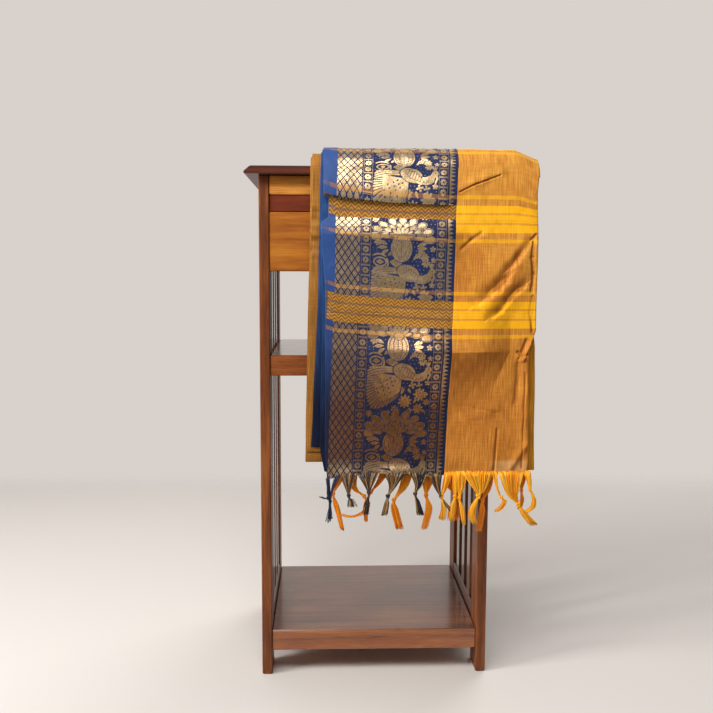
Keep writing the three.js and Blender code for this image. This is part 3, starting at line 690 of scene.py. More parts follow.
LEAVES = [
    # root p and q, direction in degrees, length and width
    (24.5, 114.5, -8, 17, 10.5), (60, 8, 28, 13, 4.6), (60, 6, 2, 14, 4.4), (61, 4, -24, 12, 4.2),
    (68, 9, 55, 8, 3.6), (22, 8, 158, 12, 4.4), (22, 5, 186, 13, 4.4), (23, 2, 214, 11, 4.2),
    (2, 20, 60, 9, 4.0), (84, 72, 200, 7, 3.2), (60, 72, 120, 8, 3.4), (46, 70, 60, 8, 3.4),
    (64, 58, 60, 8, 3.2), (82, 46, 150, 9, 3.6), (84, 98, 250, 8, 3.2), (66, 76, 20, 5, 2.6),
    (22, 122, 40, 8, 3.6), (56, 118, 60, 7, 3.2),
]
for root_p, root_q, degrees, length, width in LEAVES:
    paint(OUTLINE, petal, (root_p, root_q), math.radians(degrees), length, width)

RING = dict(centre=(12.2, 113.4), radii=(9.0, 6.4), wall=1.7, lozenge=3.4)
SCROLLS = [
    ((20, 108), (26, 103), (34, 103)), ((4, 104), (10, 108), (18, 105)),
    ((22, 106), (24, 112), (21, 118)), ((3, 121), (10, 126), (19, 121)),
]


def lozenge(p, q):
    return RING["lozenge"] - (0.62 * np.abs(p - RING["centre"][0]) + np.abs(q - RING["centre"][1]))


paint(0.9, ellipse, RING["centre"], RING["radii"])
engrave(ellipse, RING["centre"], [radius - RING["wall"] for radius in RING["radii"]])
paint(0.0, lozenge)
for handles in SCROLLS:
    paint(OUTLINE, stroke, curve_points(*handles), 1.9)
print("flowers:", len(FLOWERS), "leaves:", len(LEAVES), "scrolls:", len(SCROLLS))

# %% [markdown]
# A lotus with three rows of petals opens above a round vase. The vase is ribbed by upright lines and
# crossed by fine curved ones, and the larger petals have an inner outline.

# %% Lotus and vase
VASE = dict(centre=(40, 4.5), radii=(14, 17.5), inside=(12.6, 16), rib_gap=6.5, hoop_pitch=2.2, hoop=0.32)
LOTUS = (41, 17)
LOTUS_ROWS = [
    # petals, first and last angle in degrees, reach sideways and upwards, half length and half width
    dict(petals=9, first=2, last=178, reach=(35.5, 25.5), size=(8.4, 5.2)),
    dict(petals=8, first=12, last=168, reach=(23.5, 17.0), size=(7.4, 4.0)),
    dict(petals=7, first=24, last=156, reach=(12.5, 10.0), size=(5.6, 1.9)),
]
# Petals wider than this have an inner outline
OUTLINED_WIDTH = 2


def vase_hoops(p, q):
    pitch = VASE["hoop_pitch"]
    bowed = q + 0.02 * (p - VASE["centre"][0]) ** 2
    hoops = VASE["hoop"] - np.abs(bowed % pitch - pitch / 2)
    return np.minimum(hoops, ellipse(p, q, VASE["centre"], VASE["inside"]))


def inner_outline(p, q, middle, size, turn):
    return 0.4 - np.abs(ellipse(p, q, middle, (size[0] - 1.6, size[1] - 1.4), turn))


paint(1.2, ellipse, VASE["centre"], VASE["radii"])
vase_p = VASE["centre"][0]
for step in range(-2, 3):
    reach = VASE["rib_gap"] * step
    rib = curve_points((vase_p + 0.3 * reach, -12), (vase_p + 1.5 * reach, 4), (vase_p + 0.3 * reach, 20))
    engrave(stroke, rib, 0.8)
engrave(vase_hoops)
for row in LOTUS_ROWS:
    for i in range(row["petals"]):
        angle = math.radians(row["first"] + (row["last"] - row["first"]) * i / (row["petals"] - 1))
        middle = (LOTUS[0] + row["reach"][0] * math.cos(angle), LOTUS[1] + row["reach"][1] * math.sin(angle))
        turn = math.atan2(middle[1] - LOTUS[1], middle[0] - LOTUS[0])
        paint(OUTLINE, ellipse, middle, row["size"], turn)
        if row["size"][1] > OUTLINED_WIDTH:
            engrave(inner_outline, middle, row["size"], turn)
paint(OUTLINE, ellipse, (LOTUS[0], LOTUS[1] + 1), (6, 4))
print("lotus petals:", sum(row["petals"] for row in LOTUS_ROWS))

# %% [markdown]
# The peacock holds its neck up and its beak down. Behind it the tail is a fan with a scalloped edge, ribs
# towards the tips and small eyes, and three long feathers lie over it. Staggered dots shade the body, and
# the wing's short strokes are cut out of the gold.

# %% Peacock: tail, body, neck and head
TAIL_ROOT = (47.0, 94.0)
TAIL_EDGE = [
    dict(angle=172, reach=42), dict(angle=184, reach=46), dict(angle=200, reach=49),
    dict(angle=214, reach=54), dict(angle=228, reach=58), dict(angle=238, reach=50),
    dict(angle=250, reach=36), dict(angle=266, reach=24),
]
FEATHER_STEP = 4.4
DOT_PITCH = 2.2
TAIL_EYES = [
    (19.5, 85.3), (27.0, 88.6), (32.1, 91.8), (21.8, 80.4), (28.1, 83.7), (33.8, 86.9), (14.9, 77.1),
    (23.5, 74.9), (29.8, 78.2), (35.6, 82.0), (16.1, 71.7), (38.5, 88.5), (25.5, 69.5), (32.5, 73.0),
]


def tail_polar(p, q):
    angle = np.degrees(np.arctan2(q - TAIL_ROOT[1], p - TAIL_ROOT[0])) % 360
    return angle, np.hypot(p - TAIL_ROOT[0], q - TAIL_ROOT[1])


def tail(p, q):
    angle, reach = tail_polar(p, q)
    edge = table_value(TAIL_EDGE, "angle", angle, "reach")
    scallop = 1.8 * np.abs(np.sin(math.pi * angle / FEATHER_STEP))
    sides = np.minimum(angle - TAIL_EDGE[0]["angle"], TAIL_EDGE[-1]["angle"] - angle) * math.pi / 180 * reach
    return np.minimum(edge - 1.2 + scallop - reach, sides)


def tail_ribs(p, q):
    angle, reach = tail_polar(p, q)
    edge = table_value(TAIL_EDGE, "angle", angle, "reach")
    from_rib = np.abs((angle / FEATHER_STEP + 0.5) % 1 - 0.5) * FEATHER_STEP * math.pi / 180 * reach
    return np.minimum(np.minimum(0.6 - from_rib, reach - 0.74 * edge), tail(p, q) + 0.5)


def tail_eyes(p, q):
    best = np.full(p.shape, -9.0)
    for centre in TAIL_EYES:
        best = np.maximum(best, ellipse(p, q, centre, (1.5, 1.0), 0.7))
    return best


paint(1.2, tail)
engrave(tail_ribs)
engrave(tail_eyes)
for lift in (0, 3.6, 7.2):
    paint(OUTLINE, stroke, curve_points((44, 99 + 0.6 * lift), (20, 103 + lift), (2, 93 + lift)), 2.1)


def body_scales(p, q):
    """Small dots in staggered rows, as the weaver shades a rounded form."""
    row = np.floor(q / DOT_PITCH)
    dot_p = (p + DOT_PITCH / 2 * (row % 2)) % DOT_PITCH - DOT_PITCH / 2
    dot_q = q % DOT_PITCH - DOT_PITCH / 2
    dots = 0.62 - np.hypot(dot_p, dot_q)
    return np.minimum(dots, ellipse(p, q, (47, 104), (10.5, 10), 0.5))


def bird(p, q):
    breast = stroke(p, q, curve_points((56, 97), (66, 90), (75, 96)), 10.5)
    neck = stroke(p, q, curve_points((70, 93), (77, 96), (80.5, 105)), 6.6)
    return np.maximum(np.maximum(breast, neck), ellipse(p, q, (50, 101), (15, 10.5), -0.35))


def hatch(count, first, step, bend, end, width):
    """Cuts a row of short curved strokes."""
    for i in range(count):
        p, q = first[0] + step[0] * i, first[1] + step[1] * i
        engrave(stroke, curve_points((p, q), (p + bend[0], q + bend[1]), (p + end[0], q + end[1])), width)


paint(1.1, bird)
engrave(body_scales)
paint(0.9, petal, (66.5, 92.5), 2.62, 27, 9.0)
hatch(6, (61.0, 91.5), (-3.2, 2.0), (2.2, 4.0), (2.6, 8.0), 0.8)
hatch(4, (63.5, 86.6), (2.6, 1.4), (1.6, 2.4), (2.0, 5.0), 0.7)
paint(0.2, ellipse, (81.4, 105), (4.2, 4.2))
paint(0.4, petal, (82.4, 103), -1.25, 8, 3.0)
engrave(ellipse, (81.6, 105.4), (0.9, 0.9))
for i in range(3):
    paint(0.4, petal, (80.5, 107.5), 1.95 - 0.36 * i, 9, 2.2)
print("tail eyes:", len(TAIL_EYES))

# %% [markdown]
# The weaver leaves no large patch of the field bare: small gold seeds in staggered rows fill the ground
# wherever no figure comes near.

# %% Fill the empty ground with seeds
SEED_PITCH = 5.2
seed_p = (cell_p + SEED_PITCH / 2 * (np.floor(cell_q / SEED_PITCH) % 2)) % SEED_PITCH - SEED_PITCH / 2
seed_q = cell_q % SEED_PITCH - SEED_PITCH / 2
seeds = 0.75 - np.hypot(seed_p, seed_q)
brocade = np.maximum(brocade, np.minimum(seeds, -brocade - 1.5))
print("brocade unit cells:", brocade.shape, "share of gold:", round(float((brocade > 0).mean()), 2))


def brocade_at(p, q):
    """The unit's distance field at places in millimetres, blended between its cells."""
    a = np.clip(p / CELL, 0, brocade.shape[0] - 1.001)
    b = (q % UNIT_LENGTH) / CELL
    i, j = a.astype(int), b.astype(int) % brocade.shape[1]
    fa, fb = a - i, b - np.floor(b)
    j2 = (j + 1) % brocade.shape[1]
    low = brocade[i, j] * (1 - fa) + brocade[i + 1, j] * fa
    high = brocade[i, j2] * (1 - fa) + brocade[i + 1, j2] * fa
    return low * (1 - fb) + high * fb


# %% [markdown]
# The face is one quarter of the saree's width: a navy border of 177 mm, most of it brocade, then the
# mustard body up to the long fold. Its left edge, the border's inner edge and its fold wander a little
# with height, as measured below. Border and body are three sheets each, to keep each mesh of fair size.

# %% Outline of the face
BORDER_WIDTH = 177.0
FIELD_EDGE_W = 111.3
HEM_LEVEL = 297.0
FIRST_UNIT_V = 39.0

FACE_LEFT = [
    dict(z=292, x=-66.7), dict(z=331, x=-70.1), dict(z=426, x=-69.6), dict(z=546, x=-69.2),
    dict(z=600, x=-73.8), dict(z=634, x=-75.1), dict(z=641, x=-65.8), dict(z=666, x=-65.1),
    dict(z=668.5, x=-71.7), dict(z=720, x=-71.7),
]
BORDER_EDGE = [
    dict(z=292, x=90.8), dict(z=372, x=94.2), dict(z=495, x=98.5), dict(z=532, x=100.7),
    dict(z=656, x=102.6), dict(z=720, x=105.0),
]
FACE_RIGHT = [
    dict(z=292, x=203.6), dict(z=316, x=206.1), dict(z=453, x=202.9), dict(z=473, x=204.9),
    dict(z=492, x=212.2), dict(z=610, x=212.0), dict(z=684, x=210.0), dict(z=720, x=212.5),
]
FACE_HEM = [
    dict(x=-67, z=292), dict(x=-40, z=297), dict(x=10, z=300), dict(x=40, z=300),
    dict(x=75, z=295), dict(x=100, z=298), dict(x=150, z=298), dict(x=204, z=298),
]
# How far the weft climbs towards the selvedge, by height
WEFT_TILT = [
    dict(z=292, rise=0), dict(z=400, rise=3), dict(z=480, rise=10), dict(z=545, rise=12),
    dict(z=600, rise=13), dict(z=626, rise=13), dict(z=638, rise=3), dict(z=655, rise=7),
    dict(z=666, rise=9), dict(z=674, rise=15), dict(z=690, rise=13), dict(z=722, rise=3),
]
# The climb is curved and is slight on the back, and from the middle up it is steeper by the selvedge
TILT_POWER = 1.3
BACK_TILT = 0.2
SELVEDGE_BOW = 5.0
BOW_ACROSS = (150, 177)
BOW_HEIGHTS = (400, 480)
# The cloth bends more tightly than its solid, which brings the next stripe forward by so much
BEND_STRETCH = 7.5
STRETCH_FROM, STRETCH_TO = -12, 20
# The hem's own line fades into the level rows over so much cloth
HEM_FADE = 90
# Points round the long fold, and along the cloth behind it
CURL_POINTS = 9
RETURN_POINTS = 8


def z_on_path(s):
    s = np.asarray(s, float)
    back = np.maximum(560, BEND_Z - (s - BACK_START))
    return np.where(s < 0, BEND_Z + s, np.where(s > BACK_START, back, 720.0))


def hem_shift(x, s):
    wanted = front_s(table_value(FACE_HEM, "x", x, "z"))
    fade = 1 - smoothstep(0, HEM_FADE, s - front_s(HEM_LEVEL))
    return s + (wanted - front_s(HEM_LEVEL)) * fade


def border_sheet(name, s_rows, columns):
    """A sheet of the border, from the selvedge to the border's inner edge."""
    s = s_rows[:, None]
    z = z_on_path(s)
    left = table_value(FACE_LEFT, "z", z, "x")
    edge = table_value(BORDER_EDGE, "z", z, "x")
    x = left + (edge - left) * np.linspace(0, 1, columns)[None, :]
    level = hem_shift(x, s)
    points = on_drape(x, 0.0, level, face_lift(x, level))
    points[..., 2] -= tuck_sag(x, level) / 1000
    from_edge = np.maximum(edge - x, 0)
    tilt = table_value(WEFT_TILT, "z", z, "rise") * np.where(s > BACK_START, BACK_TILT, 1.0)
    bow = SELVEDGE_BOW * smoothstep(*BOW_ACROSS, from_edge)
    bow = bow * smoothstep(front_s(BOW_HEIGHTS[0]), front_s(BOW_HEIGHTS[1]), level)
    v = level - front_s(HEM_LEVEL) - tilt * (from_edge / BORDER_WIDTH) ** TILT_POWER - bow
    v = v + BEND_STRETCH * smoothstep(STRETCH_FROM, STRETCH_TO, level)
    u = BORDER_WIDTH - from_edge
    motif = brocade_at(FIELD_EDGE_W - from_edge, v - FIRST_UNIT_V)
    uv = np.stack([u, v], axis=-1)
    return grid_object(name, points, uv, {"motif": motif})


def body_sheet(name, s_rows, columns):
    """The mustard body from the border's edge to the long fold, round it and back."""
    s = s_rows[:, None]
    z = z_on_path(s)
    edge = table_value(BORDER_EDGE, "z", z, "x")
    turn_x = table_value(FACE_RIGHT, "z", z, "x") - FOLD_RADIUS
    flat_x = edge + (turn_x - edge) * np.linspace(0, 1, columns)[None, :]
    turns = np.linspace(0, math.pi, CURL_POINTS)[None, 1:]
    curl_x = turn_x + FOLD_RADIUS * np.sin(turns)
    curl_n = FOLD_RADIUS * (1 - np.cos(turns)) + 0 * turn_x
    back_x = turn_x - FOLD_RETURN * np.linspace(0, 1, RETURN_POINTS)[None, 1:]
    x = np.concatenate([flat_x, curl_x, back_x], axis=1)
    n = np.concatenate([0 * flat_x, curl_n, 2 * FOLD_RADIUS + 0 * back_x], axis=1)
    level = hem_shift(x, s)
    points = on_drape(x, n, level, face_lift(x, level))
    # How much painted shade each point of the face gets from its slope; none round the fold
    painted_crease_shade = facing_away_from_light(x, level + 0 * x) * (n < 0.1)
    step = np.hypot(np.diff(x, axis=1), np.diff(n, axis=1))
    u = BORDER_WIDTH + np.concatenate([0 * s, np.cumsum(step, axis=1)], axis=1)
    v = level - front_s(HEM_LEVEL) + BEND_STRETCH * smoothstep(STRETCH_FROM, STRETCH_TO, level)
    return grid_object(name, points, np.stack([u, v], axis=-1), {"painted_crease_shade": painted_crease_shade})


FINE_STEP = 1.05
BODY_STEP = 0.8
COARSE_STEP = 2.4
BACK_HEM_Z = 306.0
SHEET_SPLIT_S = -190.0
hem_s = front_s(HEM_LEVEL)


def rows_between(low, high, step):
    return np.linspace(low, high, round((high - low) / step))


low_rows = rows_between(hem_s, SHEET_SPLIT_S, FINE_STEP)
high_rows = rows_between(SHEET_SPLIT_S, BEND_LENGTH, FINE_STEP)
far_rows = rows_between(BEND_LENGTH, back_s(BACK_HEM_Z), COARSE_STEP)
body_low_rows = rows_between(hem_s, SHEET_SPLIT_S, BODY_STEP)
body_high_rows = rows_between(SHEET_SPLIT_S, BEND_LENGTH, BODY_STEP)

border_low = border_sheet("pallu_border_lower", low_rows, 166)
border_high = border_sheet("pallu_border_upper", high_rows, 166)
border_far = border_sheet("pallu_border_over_back", far_rows, 76)
body_low = body_sheet("pallu_body_lower", body_low_rows, 132)
body_high = body_sheet("pallu_body_upper", body_high_rows, 132)
body_far = body_sheet("pallu_body_over_back", far_rows, 46)
face_pieces = [border_low, border_high, border_far, body_low, body_high, body_far]
for sheet in face_pieces:
    thicken(sheet)
    print(sheet.name, "faces:", len(sheet.data.polygons))

# %% [markdown]
# Under the face lie the other layers. Each bundle is a closed shell with its folds showing as rounded
# edges at both sides, slightly out of line with each other, as a hand-folded saree has them.

# %% Helper for folded bundles
# The inner layers lie deeper towards the right, between these places across
DEEPENS = (110.0, 168.0)
# Points along each flat side of a section
FLAT_POINTS = 22
# The strip at the far left that shows, and the stretch of it that is crumpled
STRIP_X = (-76, -66)
CRUMPLED_FROM, CRUMPLED_TO = (-130, -100), (-60, -30)


def bundle_rows(s_low, s_high):
    """Lengths along the drape, close together at the bends and at the hems."""
    parts = [
        np.array([0, 0.8, 2.0]) + s_low,
        np.arange(s_low + 5, -14, 1.6),
        np.linspace(-12, BEND_LENGTH + 6, 22),
        np.linspace(BEND_LENGTH + 14, BEND_LENGTH + TOP_RUN - 14, 24),
        np.linspace(BEND_LENGTH + TOP_RUN - 6, BACK_START + 12, 22),
        np.arange(BACK_START + 20, s_high - 5, 9.0),
        np.array([-2.0, -0.8, 0]) + s_high,
    ]
    return np.concatenate(parts)


def bundle_section(s, row, insets):
    """x and n round a bundle's section at each length s, for its layers and their own insets."""
    s = s[:, None]
    z = z_on_path(s)
    left = table_value(row["edges"], "z", z, "left") + row.get("left", 0)
    right = table_value(row["edges"], "z", z, "right") + row.get("right", 0)
    from_hem = np.minimum(s - s[0], s[-1] - s)
    shrink = 0.3 + 0.7 * smoothstep(0, 2.5, from_hem)
    layers = row["layers"]
    deep = (row["far"] - row["near"]) / layers

    def shift(x):
        return (row.get("near_right", row["near"]) - row["near"]) * smoothstep(*DEEPENS, x)

    half = deep / 2
    arc = np.linspace(-math.pi / 2, math.pi / 2, 5)[None, :]
    middle_n = (row["near"] + row["far"]) / 2
    parts = []
    for side, edge in ((-1, left), (1, right)):
        order = range(layers) if side < 0 else range(layers - 1, -1, -1)
        for j in order:
            wander = insets[j][0 if side < 0 else 1] + 0.7 * ripples(0 * s, s, 90, 40 + j)
            centre = row["near"] + deep * (j + 0.5)
            x = edge - side * (wander + half) + side * half * np.cos(arc) * shrink
            n = centre + (half * np.sin(arc) if side < 0 else -half * np.sin(arc)) + 0 * s
            n = middle_n + (n - middle_n) * shrink + shift(x)
            parts.append((x, n))
        low, high = (left + 4, right - 4) if side < 0 else (right - 4, left + 4)
        x = low + (high - low) * np.linspace(0, 1, FLAT_POINTS + 2)[None, 1:-1]
        level = row["far"] if side < 0 else row["near"]
        n = middle_n + (level - middle_n) * shrink + shift(x)
        parts.append((x, n + 0 * x))
    x = np.concatenate([p[0] for p in parts], axis=1)
    n = np.concatenate([p[1] for p in parts], axis=1)
    return x, n


def bundle(name, row, seed):
    draws = random.Random(seed)
    insets = [(draws.uniform(0, 1.6), draws.uniform(0, 2.2)) for _ in range(row["layers"])]
    s = bundle_rows(front_s(row["bottom"]), back_s(row["back"]))
    x, n = bundle_section(s, row, insets)
    s_all = s[:, None] + 0 * x
    outer = smoothstep(row["far"], row["near"], n)
    strip = 1 - smoothstep(*STRIP_X, x)
    crumpled = smoothstep(*CRUMPLED_FROM, s_all) * (1 - smoothstep(*CRUMPLED_TO, s_all))
    waves = 0.9 * ripples(x * 2.2, s_all, 30, seed + 1) + 0.4 * ripples(x, s_all, 9, seed + 2)
    wrinkles = 2.4 * ripples(x * 1.6, s_all * 0.8, 8, seed + 3, 4)
    points = on_drape(x, n, s_all, outer * strip * (waves + crumpled * wrinkles))
    uv = np.stack([x + 100, s_all - s[0]], axis=-1)
    made = grid_object(name, points, uv, {}, closed=True)
    face_outwards(made, cap_ends=True)
    return made


# %% [markdown]
# Three bundles stand behind the face: the inner quarters of the same stretch, navy at the left and olive
# at the right; the border of the next stretch, a fan of navy folds at the left; and the rest of the
# folded length, three plain mustard stacks that stand out farthest at the left.

# %% The bundles under the face
QUARTER_EDGES = [
    dict(z=301, left=-71.3, right=216.6), dict(z=330, left=-76.7, right=215.4),
    dict(z=400, left=-76.0, right=214.8), dict(z=470, left=-74.5, right=213.8),
    dict(z=500, left=-74.0, right=210.0), dict(z=610, left=-75.4, right=209.4),
    dict(z=720, left=-73.4, right=210.0),
]
BORDER_FOLD_EDGES = [
    dict(z=334, left=-88.9, right=92), dict(z=439, left=-83.9, right=94),
    dict(z=532, left=-79.5, right=95), dict(z=611, left=-77.6, right=95),
    dict(z=720, left=-75.4, right=95),
]
STACK_EDGES = [
    dict(z=312, left=-95.6, right=208), dict(z=398, left=-93.6, right=208),
    dict(z=492, left=-91.6, right=207), dict(z=585, left=-89.5, right=206),
    dict(z=664, left=-87.7, right=206), dict(z=720, left=-87.2, right=208),
]
quarters = bundle("inner_quarters_cloth", dict(
    near=1.9, far=4.5, near_right=5.1, layers=3, bottom=301, back=310, edges=QUARTER_EDGES), 21)
border_folds = bundle("next_border_folds", dict(
    near=4.9, far=7.2, layers=2, bottom=334, back=326, edges=BORDER_FOLD_EDGES), 22)
STACKS = [
    dict(near=7.8, far=10.4, layers=2, bottom=327, back=318, left=0.0, right=-5, edges=STACK_EDGES),
    dict(near=10.5, far=13.3, layers=2, bottom=312.5, back=304, left=-1.5, right=-2, edges=STACK_EDGES),
    dict(near=13.4, far=16.4, layers=3, bottom=315, back=299, left=1.5, right=-6, edges=STACK_EDGES),
]
stacks = [bundle("folded_length_cloth_" + str(i + 1), row, 30 + i) for i, row in enumerate(STACKS)]
print("bundles:", [item.name for item in [quarters, border_folds] + stacks])

# %% [markdown]
# The weft's yellow stripes come in groups every 126 mm: a thin line, three wide bands with fine dark
# lines between them, and another thin line. The first group starts 180 mm above the fringed hem. One
# ramp holds the group, and both the body and the border read it.

# %% Stripes of the weft
STRIPE_PITCH = 126.0
STRIPE_START = 180.0
BODY_SHADE, STRIPE_SHADE, THIN_SHADE, LINE_SHADE = 0x000000, 0xFFFFFF, 0xD0D0D0, 0x9C9C9C
STRIPE_GROUP = [
    (0.0, BODY_SHADE), (4.8, THIN_SHADE), (9.7, BODY_SHADE), (18.0, STRIPE_SHADE), (28.3, LINE_SHADE),
    (31.2, STRIPE_SHADE), (33.6, LINE_SHADE), (34.4, STRIPE_SHADE), (41.2, LINE_SHADE), (44.2, STRIPE_SHADE),
    (53.5, BODY_SHADE), (62.0, THIN_SHADE), (66.5, BODY_SHADE),
]
# In the border the two upper wide bands are plain, and the lower one is plain in the lowest group only
BAND_SHADE, LOW_BAND_SHADE = 0xFFFFFF, 0xBCBCBC
BAND_GROUP = [(0.0, 0x000000), (17.4, LOW_BAND_SHADE), (35.0, BAND_SHADE), (54.0, 0x000000)]
PLAIN_LOW_BAND_BELOW_V = 300.0


def cloth_places(tree):
    """The sockets u and v of the cloth's own map, in millimetres."""
    place = add(tree, "UVMap", uv_map="cloth_mm")
    split = add(tree, "SeparateXYZ", {"Vector": place})
    return split.outputs[0], split.outputs[1]


def stripe_mask(tree, v, group=STRIPE_GROUP):
    m = maths(tree)
    shifted = m("SUBTRACT", v, STRIPE_START)
    share = m("FRACT", m("DIVIDE", shifted, STRIPE_PITCH))
    level = ramp(tree, share, [(mm / STRIPE_PITCH, shade) for mm, shade in group], "CONSTANT")
    return m("MULTIPLY", level, m("GREATER_THAN", shifted, 0.0))


print("stripes every mm:", STRIPE_PITCH)

# %% [markdown]
# The body is a handwoven silk and cotton: mustard warp and copper weft, so it looks shot, with thick
# and thin threads that show as fine upright streaks. Single threads are about 0.3 mm and can't show at
# this distance, so the streaks are drawn about 1 mm wide. Creases that turn down and to the right, away
# from the lamp at the left, are given painted shade: their colour is mixed towards a dark copper.

# %% Handwoven silk cotton, mustard
STREAK_WIDTH_MM = 1.2
STREAK_LENGTH_MM = 34.0
WEFT_WIDTH_MM = 1.6
WEFT_LENGTH_MM = 26.0
# The dark copper that creases facing away from the light are painted towards, as painted shade
PAINTED_CREASE_COPPER = 0x74340A
# The hem's corner by the fold is one layer thick and carries a painted highlight in a pale colour
PALE_FROM_U = 237.0
PALE_CORNER_HIGHLIGHT = 0xF0C890


def thread_noise(tree, u, v, u_mm, v_mm, detail=2.0):
    m = maths(tree)
    place = add(tree, "CombineXYZ", {"X": m("DIVIDE", u, u_mm), "Y": m("DIVIDE", v, v_mm)})
    return add(tree, "TexNoise", {"Vector": place, "Scale": 1.0, "Detail": detail}, noise_dimensions="2D")


def body_material(name, dark, middle, light, stripe=None):
    """Mustard cloth; the stripes and the painted highlight on the hem's corner are there if a stripe's
    colour is given.
    """
    material, tree, shader = new_material(
        name, Roughness=0.62, Sheen_Weight=0.12, Sheen_Roughness=0.4, Sheen_Tint=linear(0xFFC060),
        Specular_IOR_Level=0.2)
    m = maths(tree)
    u, v = cloth_places(tree)
    warp = thread_noise(tree, u, v, STREAK_WIDTH_MM, STREAK_LENGTH_MM, 3.0)
    weft = thread_noise(tree, u, v, WEFT_LENGTH_MM, WEFT_WIDTH_MM)
    cloud = thread_noise(tree, u, v, 60.0, 110.0, 1.0)
    clouded = m("MULTIPLY_ADD", cloud, 0.3, m("MULTIPLY_ADD", weft, 0.3, warp))
    # Painted light: the colour is painted lighter and more golden towards the top of the drop
    golden = rescale(tree, v, (150.0, 420.0), (-0.03, 0.18))
    shade = rescale(tree, m("ADD", clouded, golden), (0.36, 1.22))
    colour = ramp(tree, shade, [(0.0, dark), (0.5, middle), (1.0, light)]).outputs[0]
    if stripe:
        bright = ramp(tree, shade, [(0.0, 0xEFA00C), (0.45, stripe), (1.0, 0xFFC42C)])
        colour = mixed(tree, stripe_mask(tree, v), colour, bright)
        # Painted highlight: a pale patch on the hem's corner by the fold
        near_hem = rescale(tree, v, (22.0, 16.0), smooth=True)
        near_fold = rescale(tree, u, (PALE_FROM_U, PALE_FROM_U + 9), smooth=True)
        pale = m("MULTIPLY", m("MULTIPLY", near_hem, near_fold), 0.3)
        colour = mixed(tree, pale, colour, linear(PALE_CORNER_HIGHLIGHT))
    # Painted shade: creases that turn away from the lamp at the left are mixed towards dark copper
    painted_crease_shade = add(tree, "Attribute", attribute_name="painted_crease_shade").outputs["Fac"]
    shadowed = mixed(tree, 0.85, colour, linear(PAINTED_CREASE_COPPER))
    colour = mixed(tree, m("MULTIPLY", painted_crease_shade, 0.85), colour, shadowed)
    tree.links.new(colour, shader.inputs["Base Color"])
    relief(tree, shader, m("ADD", warp, weft), 0.35, 0.0004)
    return material


mustard = body_material(
    "handwoven silk cotton, mustard shot with copper", 0x9E5A20, 0xC87F30, 0xEEB048, 0xFDB40E)
# Painted shade: the folded length is the same mustard cloth, painted darker for the shade it lies in behind
# the face
shaded_plain_mustard = body_material("handwoven silk cotton, plain mustard in painted shade", 0x6C4418, 0x8C5C20, 0xB47C30)
print("materials:", mustard.name, "and", shaded_plain_mustard.name)

# %% [markdown]
# The border is navy, brocaded with zari: a silk thread wrapped in thin gilt metal. Gilt thread reflects
# like brushed metal, so it flashes where a fold turns to the light and goes dull brown elsewhere, and
# towards the hem gilt and ground are also painted darker, as painted shade. Its regular figures, the
# diamond lattice, the squared stars and the temple triangles, come from folding the cloth's own
# millimetres; the peacock field comes from the motif value on the mesh's points.

# %% Zari brocade on navy
LATTICE = dict(w_low=125.6, w_high=158.0, across=8.8, along=12.8, line=0.1, ring=0.27, ring_half=0.035)
STAR_COLUMNS = (19.0, 118.1)
STAR = dict(half=6.3, pitch=13.4, point=3.3, rim=5.35, groove=5.9, groove_half=0.22, eye=1.0)
TRIANGLE = dict(tip=3.2, base=9.6, column=10.8, pitch=5.3)
FIELD = dict(w_low=25.6, w_high=111.2)
ZIGZAG = dict(across=4.6, along=2.3)
SELVEDGE_W = 167.0


def lattice_mask(m, w, v):
    """Gold diamonds with a duller ring inside, between thin crossing lines."""
    across = m("DIVIDE", w, LATTICE["across"])
    along = m("DIVIDE", v, LATTICE["along"])
    rising = m("PINGPONG", m("ADD", across, along), 0.5)
    falling = m("PINGPONG", m("SUBTRACT", across, along), 0.5)
    from_line = m("MINIMUM", rising, falling)
    ring = m("COMPARE", from_line, LATTICE["ring"], LATTICE["ring_half"])
    diamond = m("SUBTRACT", m("GREATER_THAN", from_line, LATTICE["line"]), m("MULTIPLY", ring, 0.55))
    return m("MULTIPLY", diamond, between(m, w, LATTICE))


def star_mask(m, w, v):
    """Eight-pointed stars with a dark eye in grooved squares, in two columns."""
    from_middle = [m("ABSOLUTE", m("SUBTRACT", w, column)) for column in STAR_COLUMNS]
    a = m("MINIMUM", *from_middle)
    b = m("PINGPONG", v, STAR["pitch"] / 2)
    square = m("MAXIMUM", a, b)
    slant = m("MULTIPLY", m("ADD", a, b), 0.7071)
    star = m("LESS_THAN", m("MINIMUM", square, slant), STAR["point"])
    star = m("MULTIPLY", star, m("GREATER_THAN", slant, STAR["eye"]))
    here = m("LESS_THAN", a, STAR["half"])
    stars = m("MULTIPLY", m("MAXIMUM", star, m("GREATER_THAN", square, STAR["rim"])), here)
    groove = m("COMPARE", square, STAR["groove"], STAR["groove_half"])
    return m("SUBTRACT", stars, m("MULTIPLY", groove, here))


def triangle_mask(m, w, v):
    """A row of temple triangles along the border's inner edge."""
    half_pitch = TRIANGLE["pitch"] / 2
    climb = m("DIVIDE", m("SUBTRACT", w, TRIANGLE["tip"]), TRIANGLE["base"] - TRIANGLE["tip"])
    tooth = m("DIVIDE", m("PINGPONG", v, half_pitch), half_pitch)
    return m("MULTIPLY", m("GREATER_THAN", climb, tooth), m("LESS_THAN", w, TRIANGLE["column"]))


def between(m, w, part):
    """1 within a part's range across the border, 0 outside it."""
    middle = (part["w_low"] + part["w_high"]) / 2
    return m("COMPARE", w, middle, part["w_high"] - middle)


def brocade_mask(tree, w, v):
    """1 where gold thread lies on the face and 0 where the navy ground shows."""
    m = maths(tree)
    motif = add(tree, "Attribute", attribute_name="motif").outputs["Fac"]
    field = m("MULTIPLY", rescale(tree, motif, (-0.22, 0.2)), between(m, w, FIELD))
    gold = m("ADD", m("ADD", lattice_mask(m, w, v), star_mask(m, w, v)), triangle_mask(m, w, v))
    return add(tree, "Math", {0: gold, 1: field}, operation="ADD", use_clamp=True)


